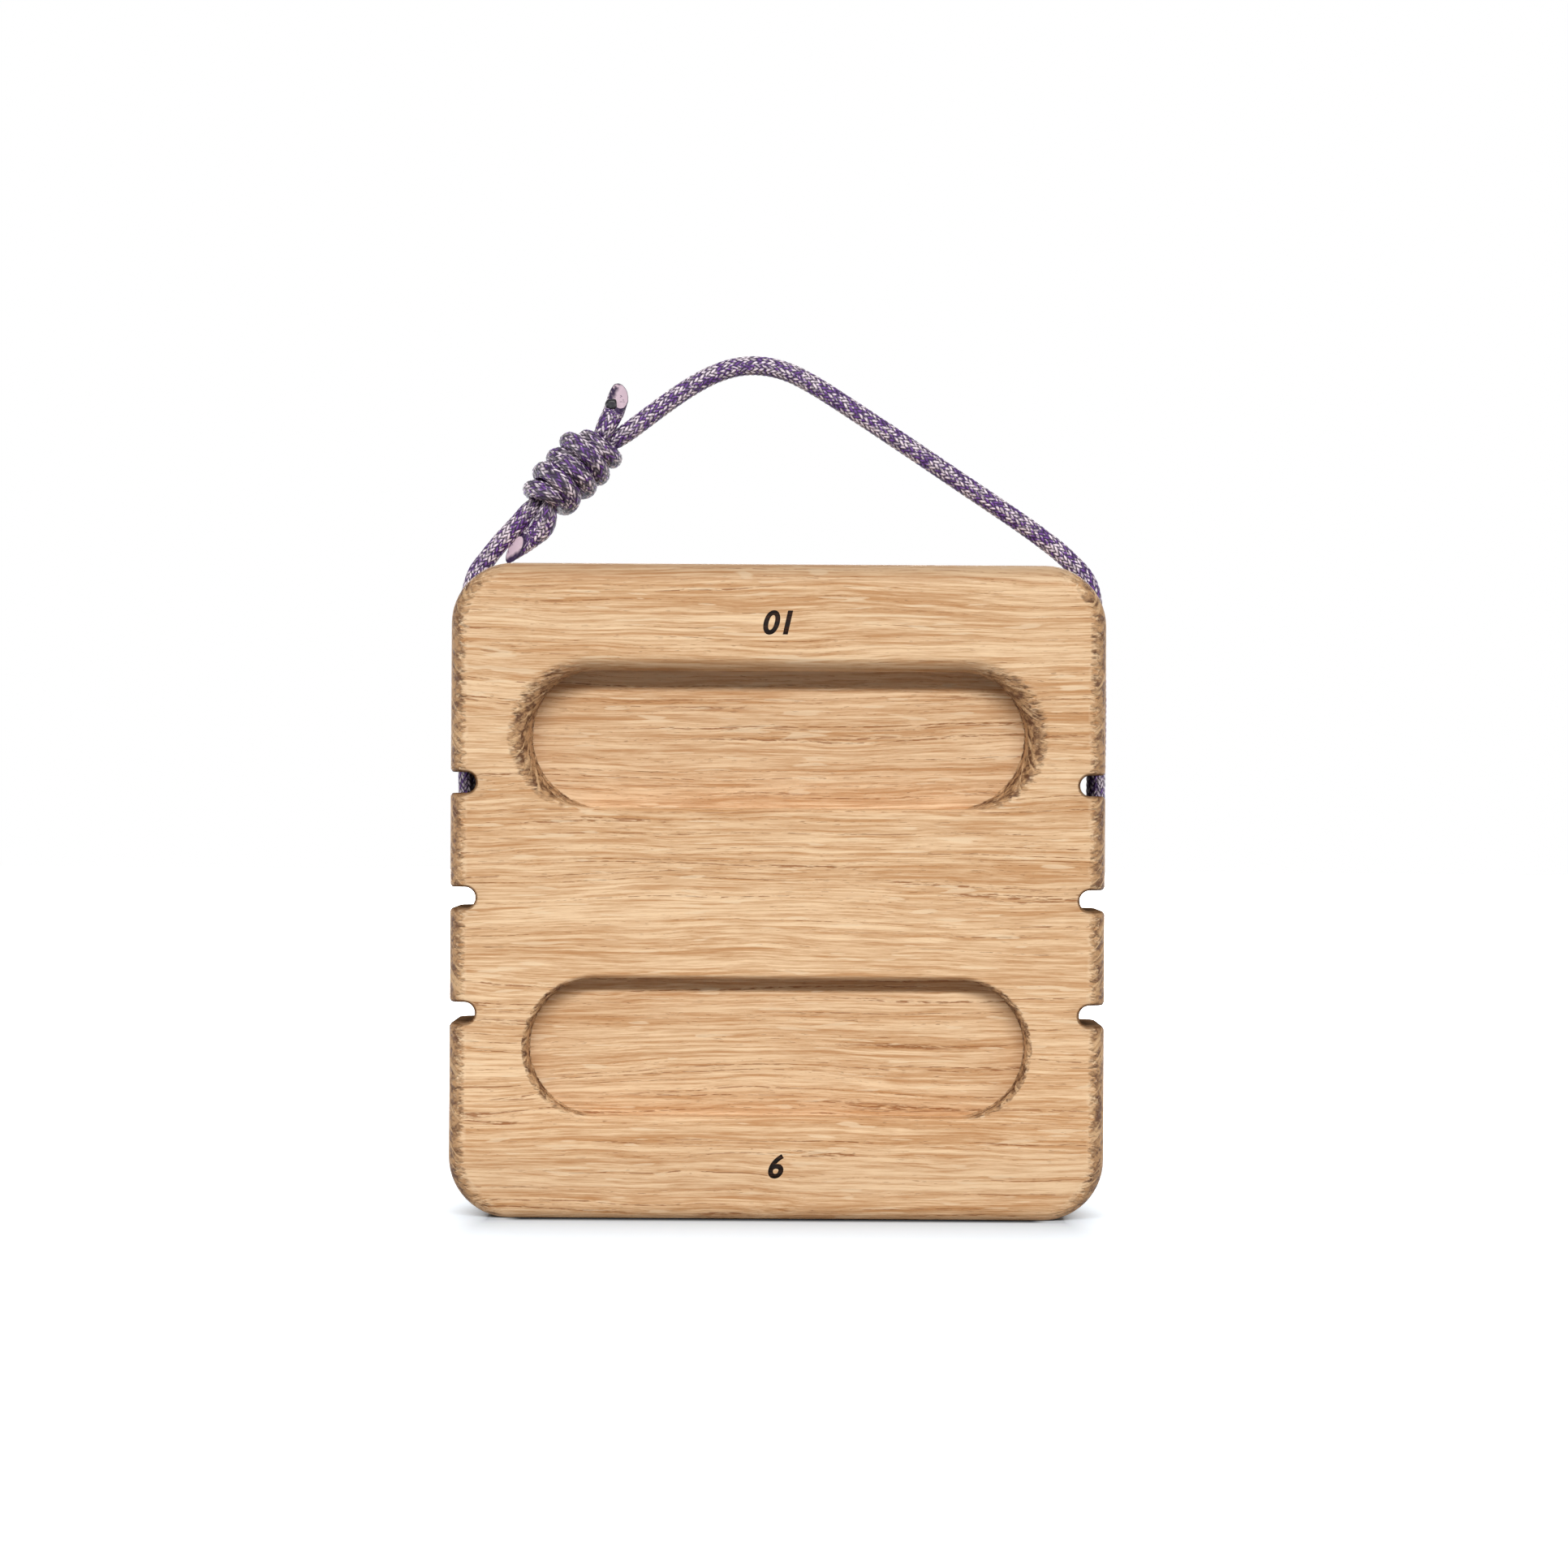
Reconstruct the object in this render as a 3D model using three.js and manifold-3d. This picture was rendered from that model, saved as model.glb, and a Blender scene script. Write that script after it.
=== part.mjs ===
// A pocket hangboard: a block of oak with two finger pockets and three pairs of side slots, and one loop of
// cord tied with a double fisherman's knot. Millimetres, +Z up. The origin is the middle of the block's
// bottom, the pockets face -Y, and the cord lies behind the block's back face.

import * as THREE from 'three';
import { mergeVertices } from 'three/addons/utils/BufferGeometryUtils.js';
import Module from 'manifold-3d';

const wasm = await Module();
wasm.setup();

// Block

const blockWidth = 150;
const blockHeight = 150;
const blockThickness = 36;
const cornerRadius = 14;
const edgeRounding = 4.5;

// Finger pockets. A pocket's walls are those of its throat, behind the rounded rim. Its place is the height of
// the throat's middle over the block's own middle.

const pocketLength = 114;
const pocketHeight = 31.5;

const incutPocket = {
  place: 34.7,
  depth: 10,
  topRim: 3.7,
  bottomRim: 1.2,
  endRim: 4.4,
  incut: THREE.MathUtils.degToRad(12),
};

const flatPocket = {
  place: -35.65,
  depth: 6,
  topRim: 1.1,
  bottomRim: 1.2,
  endRim: 1.4,
  incut: 0,
};

// Side slots, cut right through from front to back

const slotCount = 3;
const slotWidth = 5;
const slotDepth = 6.1;
const slotPitch = 26.3;
const middleSlotHeight = 73.3;

// Cord, and the two slanted bores from the back that meet in the middle of the block

const cordDiameter = 4.4;
const cordToBack = 0.3;
const cordCrossingHeight = 69.8;
const boreClearance = 0.8;
const boreMouth = 52;
const boreDepth = 15;
const middleBendLength = 3.4;
const mouthBendLength = 2;
const crossingRun = 4;

// Knot. Its axis runs from the left strand up to the arch, and its turns lie round three squeezed cords.

const knotPlace = { x: -49.3, z: 172.8 };
const knotTilt = THREE.MathUtils.degToRad(50.3);
const pulledShare = 0.864;
const squeezedShare = 0.636;
const splayedShare = 1.08;
const coreClearance = 0.45;
const turnToCoreClearance = 0.45;
const turnClearance = 1.05;

// Gap between faces that meet, and how far a cutter runs past what it cuts

const faceGap = 0.3;
const overrun = 2;

// Fineness

const cornerSteps = 8;
const roundingSteps = 5;
const pocketEndSteps = 14;
const slotEndSteps = 12;
const boreSides = 16;
const cordSides = 10;
const cordStep = 7;
const knotSides = 8;
const knotTurnStep = THREE.MathUtils.degToRad(30);

// Derived sizes

const backFace = blockThickness / 2;
const frontFace = -blockThickness / 2;
const cordRadius = cordDiameter / 2;
const loopPlane = backFace + cordToBack + cordRadius;
const boreRadius = cordRadius + boreClearance;
const boreMiddle = backFace - boreDepth;
const crossingEnd = boreMouth + mouthBendLength;
const pulledRadius = cordRadius * pulledShare;
const squeezedRadius = cordRadius * squeezedShare;
const coreSpacing = THREE.MathUtils.degToRad(110);
const coreRadius = (2 * squeezedRadius + coreClearance) / (2 * Math.sin(coreSpacing / 2));
const turnRadius = coreRadius + squeezedRadius + turnToCoreClearance + pulledRadius;
const turnPitch = 2 * pulledRadius + turnClearance;

const material = {
  oak: () => new THREE.MeshStandardMaterial({ color: 0xd2aa75, roughness: 0.65, metalness: 0 }),
  cord: () => new THREE.MeshStandardMaterial({ color: 0x8f7fae, roughness: 0.6, metalness: 0 }),
};

// Solids

function toSolid(geometry) {
  const bare = geometry.clone();
  bare.deleteAttribute('normal');
  bare.deleteAttribute('uv');
  const merged = mergeVertices(bare);
  const mesh = new wasm.Mesh({
    numProp: 3,
    vertProperties: Float32Array.from(merged.attributes.position.array),
    triVerts: Uint32Array.from(merged.index.array),
  });
  return new wasm.Manifold(mesh);
}

function fromSolid(solid) {
  const mesh = solid.getMesh();
  const geometry = new THREE.BufferGeometry();
  geometry.setAttribute('position', new THREE.BufferAttribute(mesh.vertProperties, 3));
  geometry.setIndex(new THREE.BufferAttribute(mesh.triVerts, 1));
  geometry.computeVertexNormals();
  return geometry;
}

// Joins rings of points, each with as many points, into a closed body. Seen from the last ring, each turns
// counterclockwise.
function ringBody(rings) {
  const count = rings[0].length;
  const last = rings.length - 1;
  const positions = [];
  const faces = [];
  for (const ring of rings) {
    for (const point of ring) {
      positions.push(point.x, point.y, point.z);
    }
  }
  for (const end of [0, last]) {
    const middle = new THREE.Vector3();
    for (const point of rings[end]) {
      middle.addScaledVector(point, 1 / count);
    }
    positions.push(middle.x, middle.y, middle.z);
  }
  const startMiddle = rings.length * count;
  const endMiddle = startMiddle + 1;
  for (let side = 0; side < count; side += 1) {
    const next = (side + 1) % count;
    for (let ring = 0; ring < last; ring += 1) {
      const a = ring * count + side;
      const b = ring * count + next;
      faces.push(a, b, b + count);
      faces.push(a, b + count, a + count);
    }
    faces.push(startMiddle, next, side);
    faces.push(endMiddle, last * count + side, last * count + next);
  }
  const geometry = new THREE.BufferGeometry();
  geometry.setAttribute('position', new THREE.BufferAttribute(new Float32Array(positions), 3));
  geometry.setIndex(faces);
  geometry.computeVertexNormals();
  return geometry;
}

function circleShape(radius, sides) {
  const points = [];
  for (let i = 0; i < sides; i += 1) {
    const angle = (i / sides) * 2 * Math.PI;
    points.push(new THREE.Vector2(radius * Math.cos(angle), radius * Math.sin(angle)));
  }
  return new THREE.Shape(points);
}

// A shape drawn in width and height, pushed along Y from one place to another
function pushedAlongY(shape, from, to, curveSegments) {
  const geometry = new THREE.ExtrudeGeometry(shape, { depth: to - from, bevelEnabled: false, curveSegments });
  geometry.rotateX(Math.PI / 2);
  geometry.translate(0, to, 0);
  return geometry;
}

// Oak block

function roundedBlock() {
  const halfWidth = blockWidth / 2 - edgeRounding;
  const halfHeight = blockHeight / 2 - edgeRounding;
  const radius = cornerRadius - edgeRounding;
  const outline = new THREE.Shape();
  outline.moveTo(-halfWidth + radius, -halfHeight);
  outline.absarc(halfWidth - radius, -halfHeight + radius, radius, -Math.PI / 2, 0, false);
  outline.absarc(halfWidth - radius, halfHeight - radius, radius, 0, Math.PI / 2, false);
  outline.absarc(-halfWidth + radius, halfHeight - radius, radius, Math.PI / 2, Math.PI, false);
  outline.absarc(-halfWidth + radius, -halfHeight + radius, radius, Math.PI, 1.5 * Math.PI, false);
  const geometry = new THREE.ExtrudeGeometry(outline, {
    depth: blockThickness - 2 * edgeRounding,
    bevelThickness: edgeRounding,
    bevelSize: edgeRounding,
    bevelSegments: roundingSteps,
    curveSegments: cornerSteps,
  });
  geometry.rotateX(Math.PI / 2);
  geometry.translate(0, backFace - edgeRounding, blockHeight / 2);
  return geometry;
}

// One outline of a pocket at a depth: straight above and below, round at both ends
function pocketRing(depth, top, bottom, halfLength) {
  const radius = (top - bottom) / 2;
  const middle = (top + bottom) / 2;
  const points = [];
  for (const side of [1, -1]) {
    for (let i = 0; i <= pocketEndSteps; i += 1) {
      const angle = side * Math.PI * (i / pocketEndSteps - 0.5);
      const x = side * (halfLength - radius + radius * Math.cos(angle));
      points.push(new THREE.Vector3(x, frontFace + depth, middle + radius * Math.sin(angle)));
    }
  }
  return points;
}

// What a pocket cuts away: its rounded rim, then its walls. The top wall leans in by the incut angle, so the
// pocket is higher at its floor than at its throat.
function pocketCutter(pocket) {
  const middle = blockHeight / 2 + pocket.place;
  const top = middle + pocketHeight / 2;
  const bottom = middle - pocketHeight / 2;
  const halfLength = pocketLength / 2;
  const rimDepth = Math.max(pocket.topRim, pocket.bottomRim, pocket.endRim);
  const flare = (rim, depth) => {
    const left = Math.max(rim - depth, 0);
    return rim - Math.sqrt(rim * rim - left * left);
  };
  const ring = (depth) => {
    const lean = Math.max(depth - pocket.topRim, 0) * Math.tan(pocket.incut);
    return pocketRing(
      depth,
      top + flare(pocket.topRim, depth) + lean,
      bottom - flare(pocket.bottomRim, depth),
      halfLength + flare(pocket.endRim, depth),
    );
  };
  const outside = pocketRing(-overrun, top + pocket.topRim, bottom - pocket.bottomRim, halfLength + pocket.endRim);
  const rings = [ring(pocket.depth)];
  for (let i = roundingSteps; i >= 0; i -= 1) {
    const angle = (i / roundingSteps) * (Math.PI / 2);
    rings.push(ring(rimDepth * (1 - Math.cos(angle))));
  }
  rings.push(outside);
  return ringBody(rings);
}

function slotHeights() {
  const heights = [];
  for (let i = 0; i < slotCount; i += 1) {
    heights.push(middleSlotHeight + (i - (slotCount - 1) / 2) * slotPitch);
  }
  return heights;
}

function slotCutter(side, height) {
  const mouth = side * (blockWidth / 2 + overrun);
  const endMiddle = side * (blockWidth / 2 - slotDepth + slotWidth / 2);
  const half = slotWidth / 2;
  const outline = new THREE.Shape();
  outline.moveTo(mouth, -side * half);
  outline.lineTo(mouth, side * half);
  const start = side > 0 ? Math.PI / 2 : -Math.PI / 2;
  outline.absarc(endMiddle, 0, half, start, start + Math.PI, false);
  const cutter = pushedAlongY(outline, frontFace - overrun, backFace + overrun, slotEndSteps);
  cutter.translate(0, 0, height);
  return cutter;
}

// One slanted bore: from past the middle of the block out through the back face
function boreCutter(side) {
  const middle = new THREE.Vector3(0, boreMiddle, cordCrossingHeight);
  const mouth = new THREE.Vector3(side * boreMouth, loopPlane, cordCrossingHeight);
  const direction = mouth.clone().sub(middle).normalize();
  const start = middle.clone().addScaledVector(direction, -boreRadius / 2);
  const end = mouth.clone().addScaledVector(direction, boreRadius + overrun);
  return new THREE.ExtrudeGeometry(circleShape(boreRadius, boreSides), {
    steps: 1,
    extrudePath: new THREE.LineCurve3(start, end),
  });
}

function oakBlock() {
  const cutters = [pocketCutter(incutPocket), pocketCutter(flatPocket)];
  for (const side of [-1, 1]) {
    cutters.push(boreCutter(side));
    for (const height of slotHeights()) {
      cutters.push(slotCutter(side, height));
    }
  }
  let solid = toSolid(roundedBlock());
  for (const cutter of cutters) {
    solid = solid.subtract(toSolid(cutter));
  }
  return fromSolid(solid);
}

// Cord

function cordTube(path) {
  return new THREE.ExtrudeGeometry(circleShape(cordRadius, cordSides), {
    steps: Math.max(2, Math.round(path.getLength() / cordStep)),
    extrudePath: path,
  });
}

function cordAlong(points) {
  return cordTube(new THREE.CatmullRomCurve3(points, false, 'centripetal'));
}

// The stretch that the block holds: in at one bore, round the bend in the middle and out at the other
function cordInBlock() {
  const bend = new THREE.Vector3(0, boreMiddle, cordCrossingHeight);
  const corners = [-1, 1].map((side) => ({
    mouth: new THREE.Vector3(side * boreMouth, loopPlane, cordCrossingHeight),
    end: new THREE.Vector3(side * crossingEnd, loopPlane, cordCrossingHeight),
  }));
  const toward = (from, to, length) => from.clone().add(to.clone().sub(from).setLength(length));
  const [left, right] = corners;
  const leftDown = toward(left.mouth, bend, mouthBendLength);
  const leftBend = toward(bend, left.mouth, middleBendLength);
  const rightBend = toward(bend, right.mouth, middleBendLength);
  const rightDown = toward(right.mouth, bend, mouthBendLength);
  const path = new THREE.CurvePath();
  path.add(new THREE.QuadraticBezierCurve3(left.end, left.mouth, leftDown));
  path.add(new THREE.LineCurve3(leftDown, leftBend));
  path.add(new THREE.QuadraticBezierCurve3(leftBend, bend, rightBend));
  path.add(new THREE.LineCurve3(rightBend, rightDown));
  path.add(new THREE.QuadraticBezierCurve3(rightDown, right.mouth, right.end));
  return cordTube(path);
}

// The loop's free stretches: points chosen by hand, across and up, with how far each stands off the plane of
// the loop toward the block. Each starts at the knot and ends where the cord crosses the back of the block.

const leftStrandPoints = [
  [-63.9, 158.9, 0.6],
  [-66.0, 156.6, 0.4],
  [-69.0, 152.9, 0.1],
  [-71.6, 149.3, 0],
  [-73.3, 143.5, 0],
  [-73.8, 131.2, 0],
  [-73.8, 115.8, 0],
  [-73.6, 100.0, 0],
  [-73.3, 91.5, 0],
  [-72.1, 83.0, 0],
  [-69.3, 76.2, 0],
  [-64.4, 71.6, 0],
];

const rightStrandPoints = [
  [-33.0, 185.2, 0],
  [-27.3, 189.5, 0],
  [-21.5, 193.5, 0],
  [-15.8, 196.6, 0],
  [-10.0, 198.4, 0],
  [-4.3, 198.6, 0],
  [1.5, 197.3, 0],
  [7.3, 194.5, 0],
  [18.9, 187.2, 0],
  [42.0, 171.9, 0],
  [61.2, 158.9, 0],
  [68.3, 153.2, 0],
  [73.0, 147.6, 0],
  [75.0, 139.0, 0],
  [75.6, 121.5, 0],
  [75.2, 99.7, 0],
  [75.0, 91.7, 0],
  [73.8, 83.0, 0],
  [71.0, 76.2, 0],
  [66.1, 71.6, 0],
];

function strand(side, entry, inner, points) {
  const direction = entry.clone().sub(inner).normalize();
  const route = [entry.clone().addScaledVector(direction, faceGap)];
  for (const [across, up, off] of points) {
    route.push(new THREE.Vector3(across, loopPlane - off, up));
  }
  for (const across of [crossingEnd + crossingRun, crossingEnd + faceGap]) {
    route.push(new THREE.Vector3(side * across, loopPlane, cordCrossingHeight));
  }
  return cordAlong(route);
}

// Knot. A place in the knot is given along its axis, toward the upper left of it, and toward the front. Each
// half enters at its standing cord, passes the other half's turns and its own, winds back over itself, and
// goes out again under its own turns as a cut tail. The half on the right is the half on the left turned half
// round about the line of sight.

const knotFrame = new THREE.Matrix4().set(
  Math.cos(knotTilt), -Math.sin(knotTilt), 0, knotPlace.x,
  0, 0, -1, loopPlane,
  Math.sin(knotTilt), Math.cos(knotTilt), 0, knotPlace.z,
  0, 0, 0, 1,
);
const rightHalfTurn = new THREE.Matrix4().makeRotationZ(Math.PI);

function placeAtAngle(along, radius, degrees, size) {
  const angle = THREE.MathUtils.degToRad(degrees);
  return { point: new THREE.Vector3(along, radius * Math.cos(angle), radius * Math.sin(angle)), size };
}

// Points outside the turns, chosen by hand: along, toward the upper left, toward the front, cord's radius share
const leftHalfEntry = [
  [-16.5, 2.35, 0.6, 1],
  [-13.5, 2.45, 0.3, 0.9],
  [-11.8, 2.2, 0.05, 0.76],
];
const leftHalfTail = [
  [9.9, 0.4, 1.85, 0.65],
  [11.5, 0.5, 1.85, 0.73],
  [13, 0.9, 1.75, 0.88],
  [16, 1.9, 1.4, 1],
  [20.7, 3.6, 0.9, splayedShare],
  [23.6, 4.5, 0.7, splayedShare],
];
const rightHalfEntry = [
  [-16.5, 3.8, 0, 1],
  [-13, 2.8, -0.4, 0.88],
  [-11.5, 2.35, -0.5, 0.75],
];
const rightHalfTail = [
  [10.6, 0.75, 1.6, 0.66],
  [12, 1.35, 0.9, 0.7],
  [13.5, 1.95, 0.15, 0.86],
  [15, 2.25, -0.3, 0.98],
  [16.8, 2.4, -0.6, 1],
  [19.5, 2.2, -1.0, 1],
  [23.2, 2.0, -1.2, 1],
];

// How far along the knot's axis each stage lies, as shares of the pitch of the turns
const coreShiftShare = 0.41;
const coreMiddleShare = 1;
const coreEndShare = 1.69;
const riseShares = [
  { along: 1.82, radius: 0.41, degrees: 310, size: squeezedShare },
  { along: 2.01, radius: 0.6, degrees: 335, size: 0.72 },
  { along: 2.1, radius: 0.8, degrees: 360, size: 0.8 },
  { along: 2.165, radius: 0.93, degrees: 390, size: pulledShare },
];
const diveShares = [
  { along: 0.27, radius: 0.94, degrees: 745, size: pulledShare },
  { along: 0.25, radius: 0.75, degrees: 770, size: 0.78 },
  { along: 0.31, radius: 0.53, degrees: 790, size: 0.7 },
  { along: 0.46, radius: 0.38, degrees: 799, size: 0.66 },
];
const windingStartShare = 2.235;
const windingSlantShare = 0.043;
const windingFirstTurn = 1 / 6;
const windingLastTurn = 2;
const otherCoreDegrees = 350;
const crossingDegrees = 325;
const ownCoreDegrees = 300;
const tailCoreDegrees = 440;

function knotHalfRoute(entry, tail) {
  const route = [];
  const outside = ([along, up, front, size]) => ({ point: new THREE.Vector3(along, up, front), size });
  const stage = ({ along, radius, degrees, size }) =>
    placeAtAngle(along * turnPitch, radius * turnRadius, degrees, size);
  const core = (along, degrees) => placeAtAngle(along * turnPitch, coreRadius, degrees, squeezedShare);
  route.push(...entry.map(outside));
  for (const share of [-coreEndShare, -coreMiddleShare, -coreShiftShare]) {
    route.push(core(share, otherCoreDegrees));
  }
  route.push(core(0, crossingDegrees));
  for (const share of [coreShiftShare, coreMiddleShare, coreEndShare]) {
    route.push(core(share, ownCoreDegrees));
  }
  route.push(...riseShares.map(stage));
  const turnStep = knotTurnStep / (2 * Math.PI);
  const turnSteps = Math.round((windingLastTurn - windingFirstTurn) / turnStep);
  for (let i = 0; i <= turnSteps; i += 1) {
    const turn = windingFirstTurn + i * turnStep;
    const slant = windingSlantShare * Math.cos(2 * Math.PI * turn);
    const along = (windingStartShare - turn + slant) * turnPitch;
    route.push(placeAtAngle(along, turnRadius, 360 * turn, pulledShare));
  }
  route.push(...diveShares.map(stage));
  for (const share of [coreMiddleShare, coreEndShare]) {
    route.push(core(share, tailCoreDegrees));
  }
  route.push(...tail.map(outside));
  return route;
}

// Rings of points along a route whose radius changes, two rings to each of its steps
function taperedTube(route) {
  const path = new THREE.CatmullRomCurve3(route.map((stop) => stop.point), false, 'centripetal');
  const steps = 2 * (route.length - 1);
  const centres = [];
  const rings = [];
  const side = new THREE.Vector3(0, 0, 1);
  for (let i = 0; i <= steps; i += 1) {
    const before = route[Math.floor(i / 2)];
    const after = route[Math.ceil(i / 2)];
    const radius = (cordRadius * (before.size + after.size)) / 2;
    const centre = path.getPoint(i / steps);
    const tangent = path.getTangent(i / steps);
    side.addScaledVector(tangent, -side.dot(tangent)).normalize();
    const other = new THREE.Vector3().crossVectors(tangent, side);
    const ring = [];
    for (let k = 0; k < knotSides; k += 1) {
      const angle = (k / knotSides) * 2 * Math.PI;
      const point = centre.clone();
      point.addScaledVector(side, radius * Math.cos(angle));
      point.addScaledVector(other, radius * Math.sin(angle));
      ring.push(point);
    }
    rings.push(ring);
    centres.push({ centre, radius });
  }
  return { centres, geometry: ringBody(rings) };
}

const leftHalf = taperedTube(knotHalfRoute(leftHalfEntry, leftHalfTail));
const rightHalf = taperedTube(knotHalfRoute(rightHalfEntry, rightHalfTail));
rightHalf.geometry.applyMatrix4(rightHalfTurn);
for (const stop of rightHalf.centres) {
  stop.centre.applyMatrix4(rightHalfTurn);
}

// The least gap between two runs of cord, or between a run and itself past a stretch of its own length
function leastGap(run, other) {
  let least = Infinity;
  for (let i = 0; i < run.length; i += 1) {
    let between = 0;
    const first = run === other ? i + 1 : 0;
    for (let j = first; j < other.length; j += 1) {
      if (run === other) {
        between += other[j].centre.distanceTo(other[j - 1].centre);
      }
      const apart = run === other ? between > 1.5 * Math.PI * (run[i].radius + other[j].radius) : true;
      if (apart) {
        const gap = run[i].centre.distanceTo(other[j].centre) - run[i].radius - other[j].radius;
        least = Math.min(least, gap);
      }
    }
  }
  return least;
}

console.log('knot half to itself, least gap mm', leastGap(leftHalf.centres, leftHalf.centres).toFixed(2));
console.log('other knot half to itself mm', leastGap(rightHalf.centres, rightHalf.centres).toFixed(2));
console.log('knot half to knot half mm', leastGap(leftHalf.centres, rightHalf.centres).toFixed(2));

function knotEnd(points, turned) {
  const matrix = turned ? knotFrame.clone().multiply(rightHalfTurn) : knotFrame;
  const [entry, inner] = points.map(([along, up, front]) => new THREE.Vector3(along, up, front).applyMatrix4(matrix));
  return [entry, inner];
}

// Object

const hangboard = new THREE.Group();

function addPiece(name, geometry, surface) {
  const mesh = new THREE.Mesh(geometry, surface);
  mesh.name = name;
  hangboard.add(mesh);
}

addPiece('oak_block', oakBlock(), material.oak());
addPiece('cord_in_block', cordInBlock(), material.cord());
addPiece('cord_left_strand', strand(-1, ...knotEnd(leftHalfEntry, false), leftStrandPoints), material.cord());
addPiece('cord_right_strand', strand(1, ...knotEnd(rightHalfEntry, true), rightStrandPoints), material.cord());
addPiece('knot_left_half', leftHalf.geometry.applyMatrix4(knotFrame), material.cord());
addPiece('knot_right_half', rightHalf.geometry.applyMatrix4(knotFrame), material.cord());

export default hangboard;
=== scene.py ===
# %% [markdown]
# A pocket hangboard on a loop of cord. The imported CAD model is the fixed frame: it says where the block
# stands, where the cord runs and how the loop swings. This file gives each piece its real surface: oak with
# its rings, rays and pores, and a braided cord tied with a double fisherman's knot.
# Everything is in metres, +Z up, and the pockets face -Y.

import bmesh
import bpy
import numpy as np
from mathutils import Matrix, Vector
from mathutils.geometry import delaunay_2d_cdt


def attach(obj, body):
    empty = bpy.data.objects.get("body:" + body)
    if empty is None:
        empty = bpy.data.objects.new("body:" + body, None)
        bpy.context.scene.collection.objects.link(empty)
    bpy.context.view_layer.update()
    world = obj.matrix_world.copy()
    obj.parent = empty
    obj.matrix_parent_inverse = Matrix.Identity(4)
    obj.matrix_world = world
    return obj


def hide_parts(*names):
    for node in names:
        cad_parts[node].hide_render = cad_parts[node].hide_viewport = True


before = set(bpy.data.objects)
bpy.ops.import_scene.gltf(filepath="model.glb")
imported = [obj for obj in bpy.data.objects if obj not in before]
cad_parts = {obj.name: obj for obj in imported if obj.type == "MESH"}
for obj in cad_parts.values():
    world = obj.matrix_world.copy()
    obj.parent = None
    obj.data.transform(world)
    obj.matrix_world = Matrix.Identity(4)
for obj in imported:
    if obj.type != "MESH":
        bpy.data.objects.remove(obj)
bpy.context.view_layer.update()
print("nodes", sorted(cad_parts))

# %% [markdown]
# The camera comes first. The photograph was taken from straight in front with a long lens, level, and turned
# by a third of a degree, so the board seems to lean a little to the right.

# %% Camera
MM = 0.001
PHOTO_SIDE = 1932
FOCAL_PIXELS = 5400
CAMERA_PLACE = (1.35 * MM, -1.018, 99.65 * MM)
CAMERA_ROLL = np.radians(0.33)

camera_data = bpy.data.cameras.new("camera")
camera_data.sensor_width = 36
camera_data.lens = FOCAL_PIXELS / PHOTO_SIDE * camera_data.sensor_width
camera = bpy.data.objects.new("camera", camera_data)
camera.location = CAMERA_PLACE
camera.rotation_euler = (np.pi / 2, -CAMERA_ROLL, 0)
bpy.context.scene.collection.objects.link(camera)
bpy.context.scene.camera = camera
print("lens", round(camera_data.lens, 1), "mm")

# %% [markdown]
# Every surface here is worked out as whole arrays of points and put into a mesh in one go. These helpers make
# the mesh, set numbers side by side as rows of points, and make smooth random numbers.

# %% Mesh helpers
def new_piece(name, points, faces):
    """One object from an array of points (metres) and a list or array of faces."""
    mesh = bpy.data.meshes.new(name)
    mesh.from_pydata(points.tolist(), [], [list(map(int, face)) for face in faces])
    mesh.update()
    piece = bpy.data.objects.new(name, mesh)
    bpy.context.scene.collection.objects.link(piece)
    mesh.shade_smooth()
    return piece


def face_outward(piece):
    """Turns every face of a closed piece to point outward."""
    turned = bmesh.new()
    turned.from_mesh(piece.data)
    bmesh.ops.recalc_face_normals(turned, faces=turned.faces)
    turned.to_mesh(piece.data)
    turned.free()


def point_numbers(piece, name, values):
    """Keeps one number for each point as an attribute that a material can read."""
    attribute = piece.data.attributes.new(name, "FLOAT", "POINT")
    attribute.data.foreach_set("value", values.astype(np.float32))


def tube_faces(rows, columns):
    """Quads of a tube whose point number is row * columns + column. Its last column meets its first."""
    row, column = np.meshgrid(np.arange(rows - 1), np.arange(columns), indexing="ij")
    after = (column + 1) % columns
    here, above = row * columns, (row + 1) * columns
    return np.stack([here + column, here + after, above + after, above + column], axis=-1).reshape(-1, 4)


def points_of(mesh):
    """A mesh's points as an array."""
    flat = np.empty(len(mesh.vertices) * 3)
    mesh.vertices.foreach_get("co", flat)
    return flat.reshape(-1, 3)


def rows_of(*columns):
    """Rows made from columns of numbers. A single number fills its column."""
    return np.stack(np.broadcast_arrays(*columns), axis=-1)


def spread(start, end, steps):
    """The numbers that part the way from start to end into even steps, without the two ends."""
    return np.linspace(start, end, steps + 1)[1:-1]


def smooth_step(value, low, high):
    """0 below low, 1 above high, and 3t^2 - 2t^3 of the way between them in between."""
    share = np.clip((value - low) / (high - low), 0, 1)
    return share * share * (3 - 2 * share)


def hashed(cells, seed):
    """A number from 0 to 1 for each cell of whole numbers: the broken part of a large sine of its place."""
    turned = cells @ np.array([127.1, 311.7, 74.7]) + seed * 53.3
    return np.mod(np.abs(np.sin(turned)) * 43758.5453, 1)


def lumps(points, size, seed):
    """Smooth random numbers from -1 to 1: the mean of hashed numbers at the eight corners of the cell about
    each point, weighted by the smooth step of how near each corner is."""
    place = points / size
    cell = np.floor(place)
    near = place - cell
    near = near * near * (3 - 2 * near)
    total = np.zeros(len(points))
    for corner in np.ndindex(2, 2, 2):
        weight = np.prod(np.where(np.array(corner) == 1, near, 1 - near), axis=1)
        total += weight * hashed(cell + np.array(corner), seed)
    return 2 * total - 1


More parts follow.
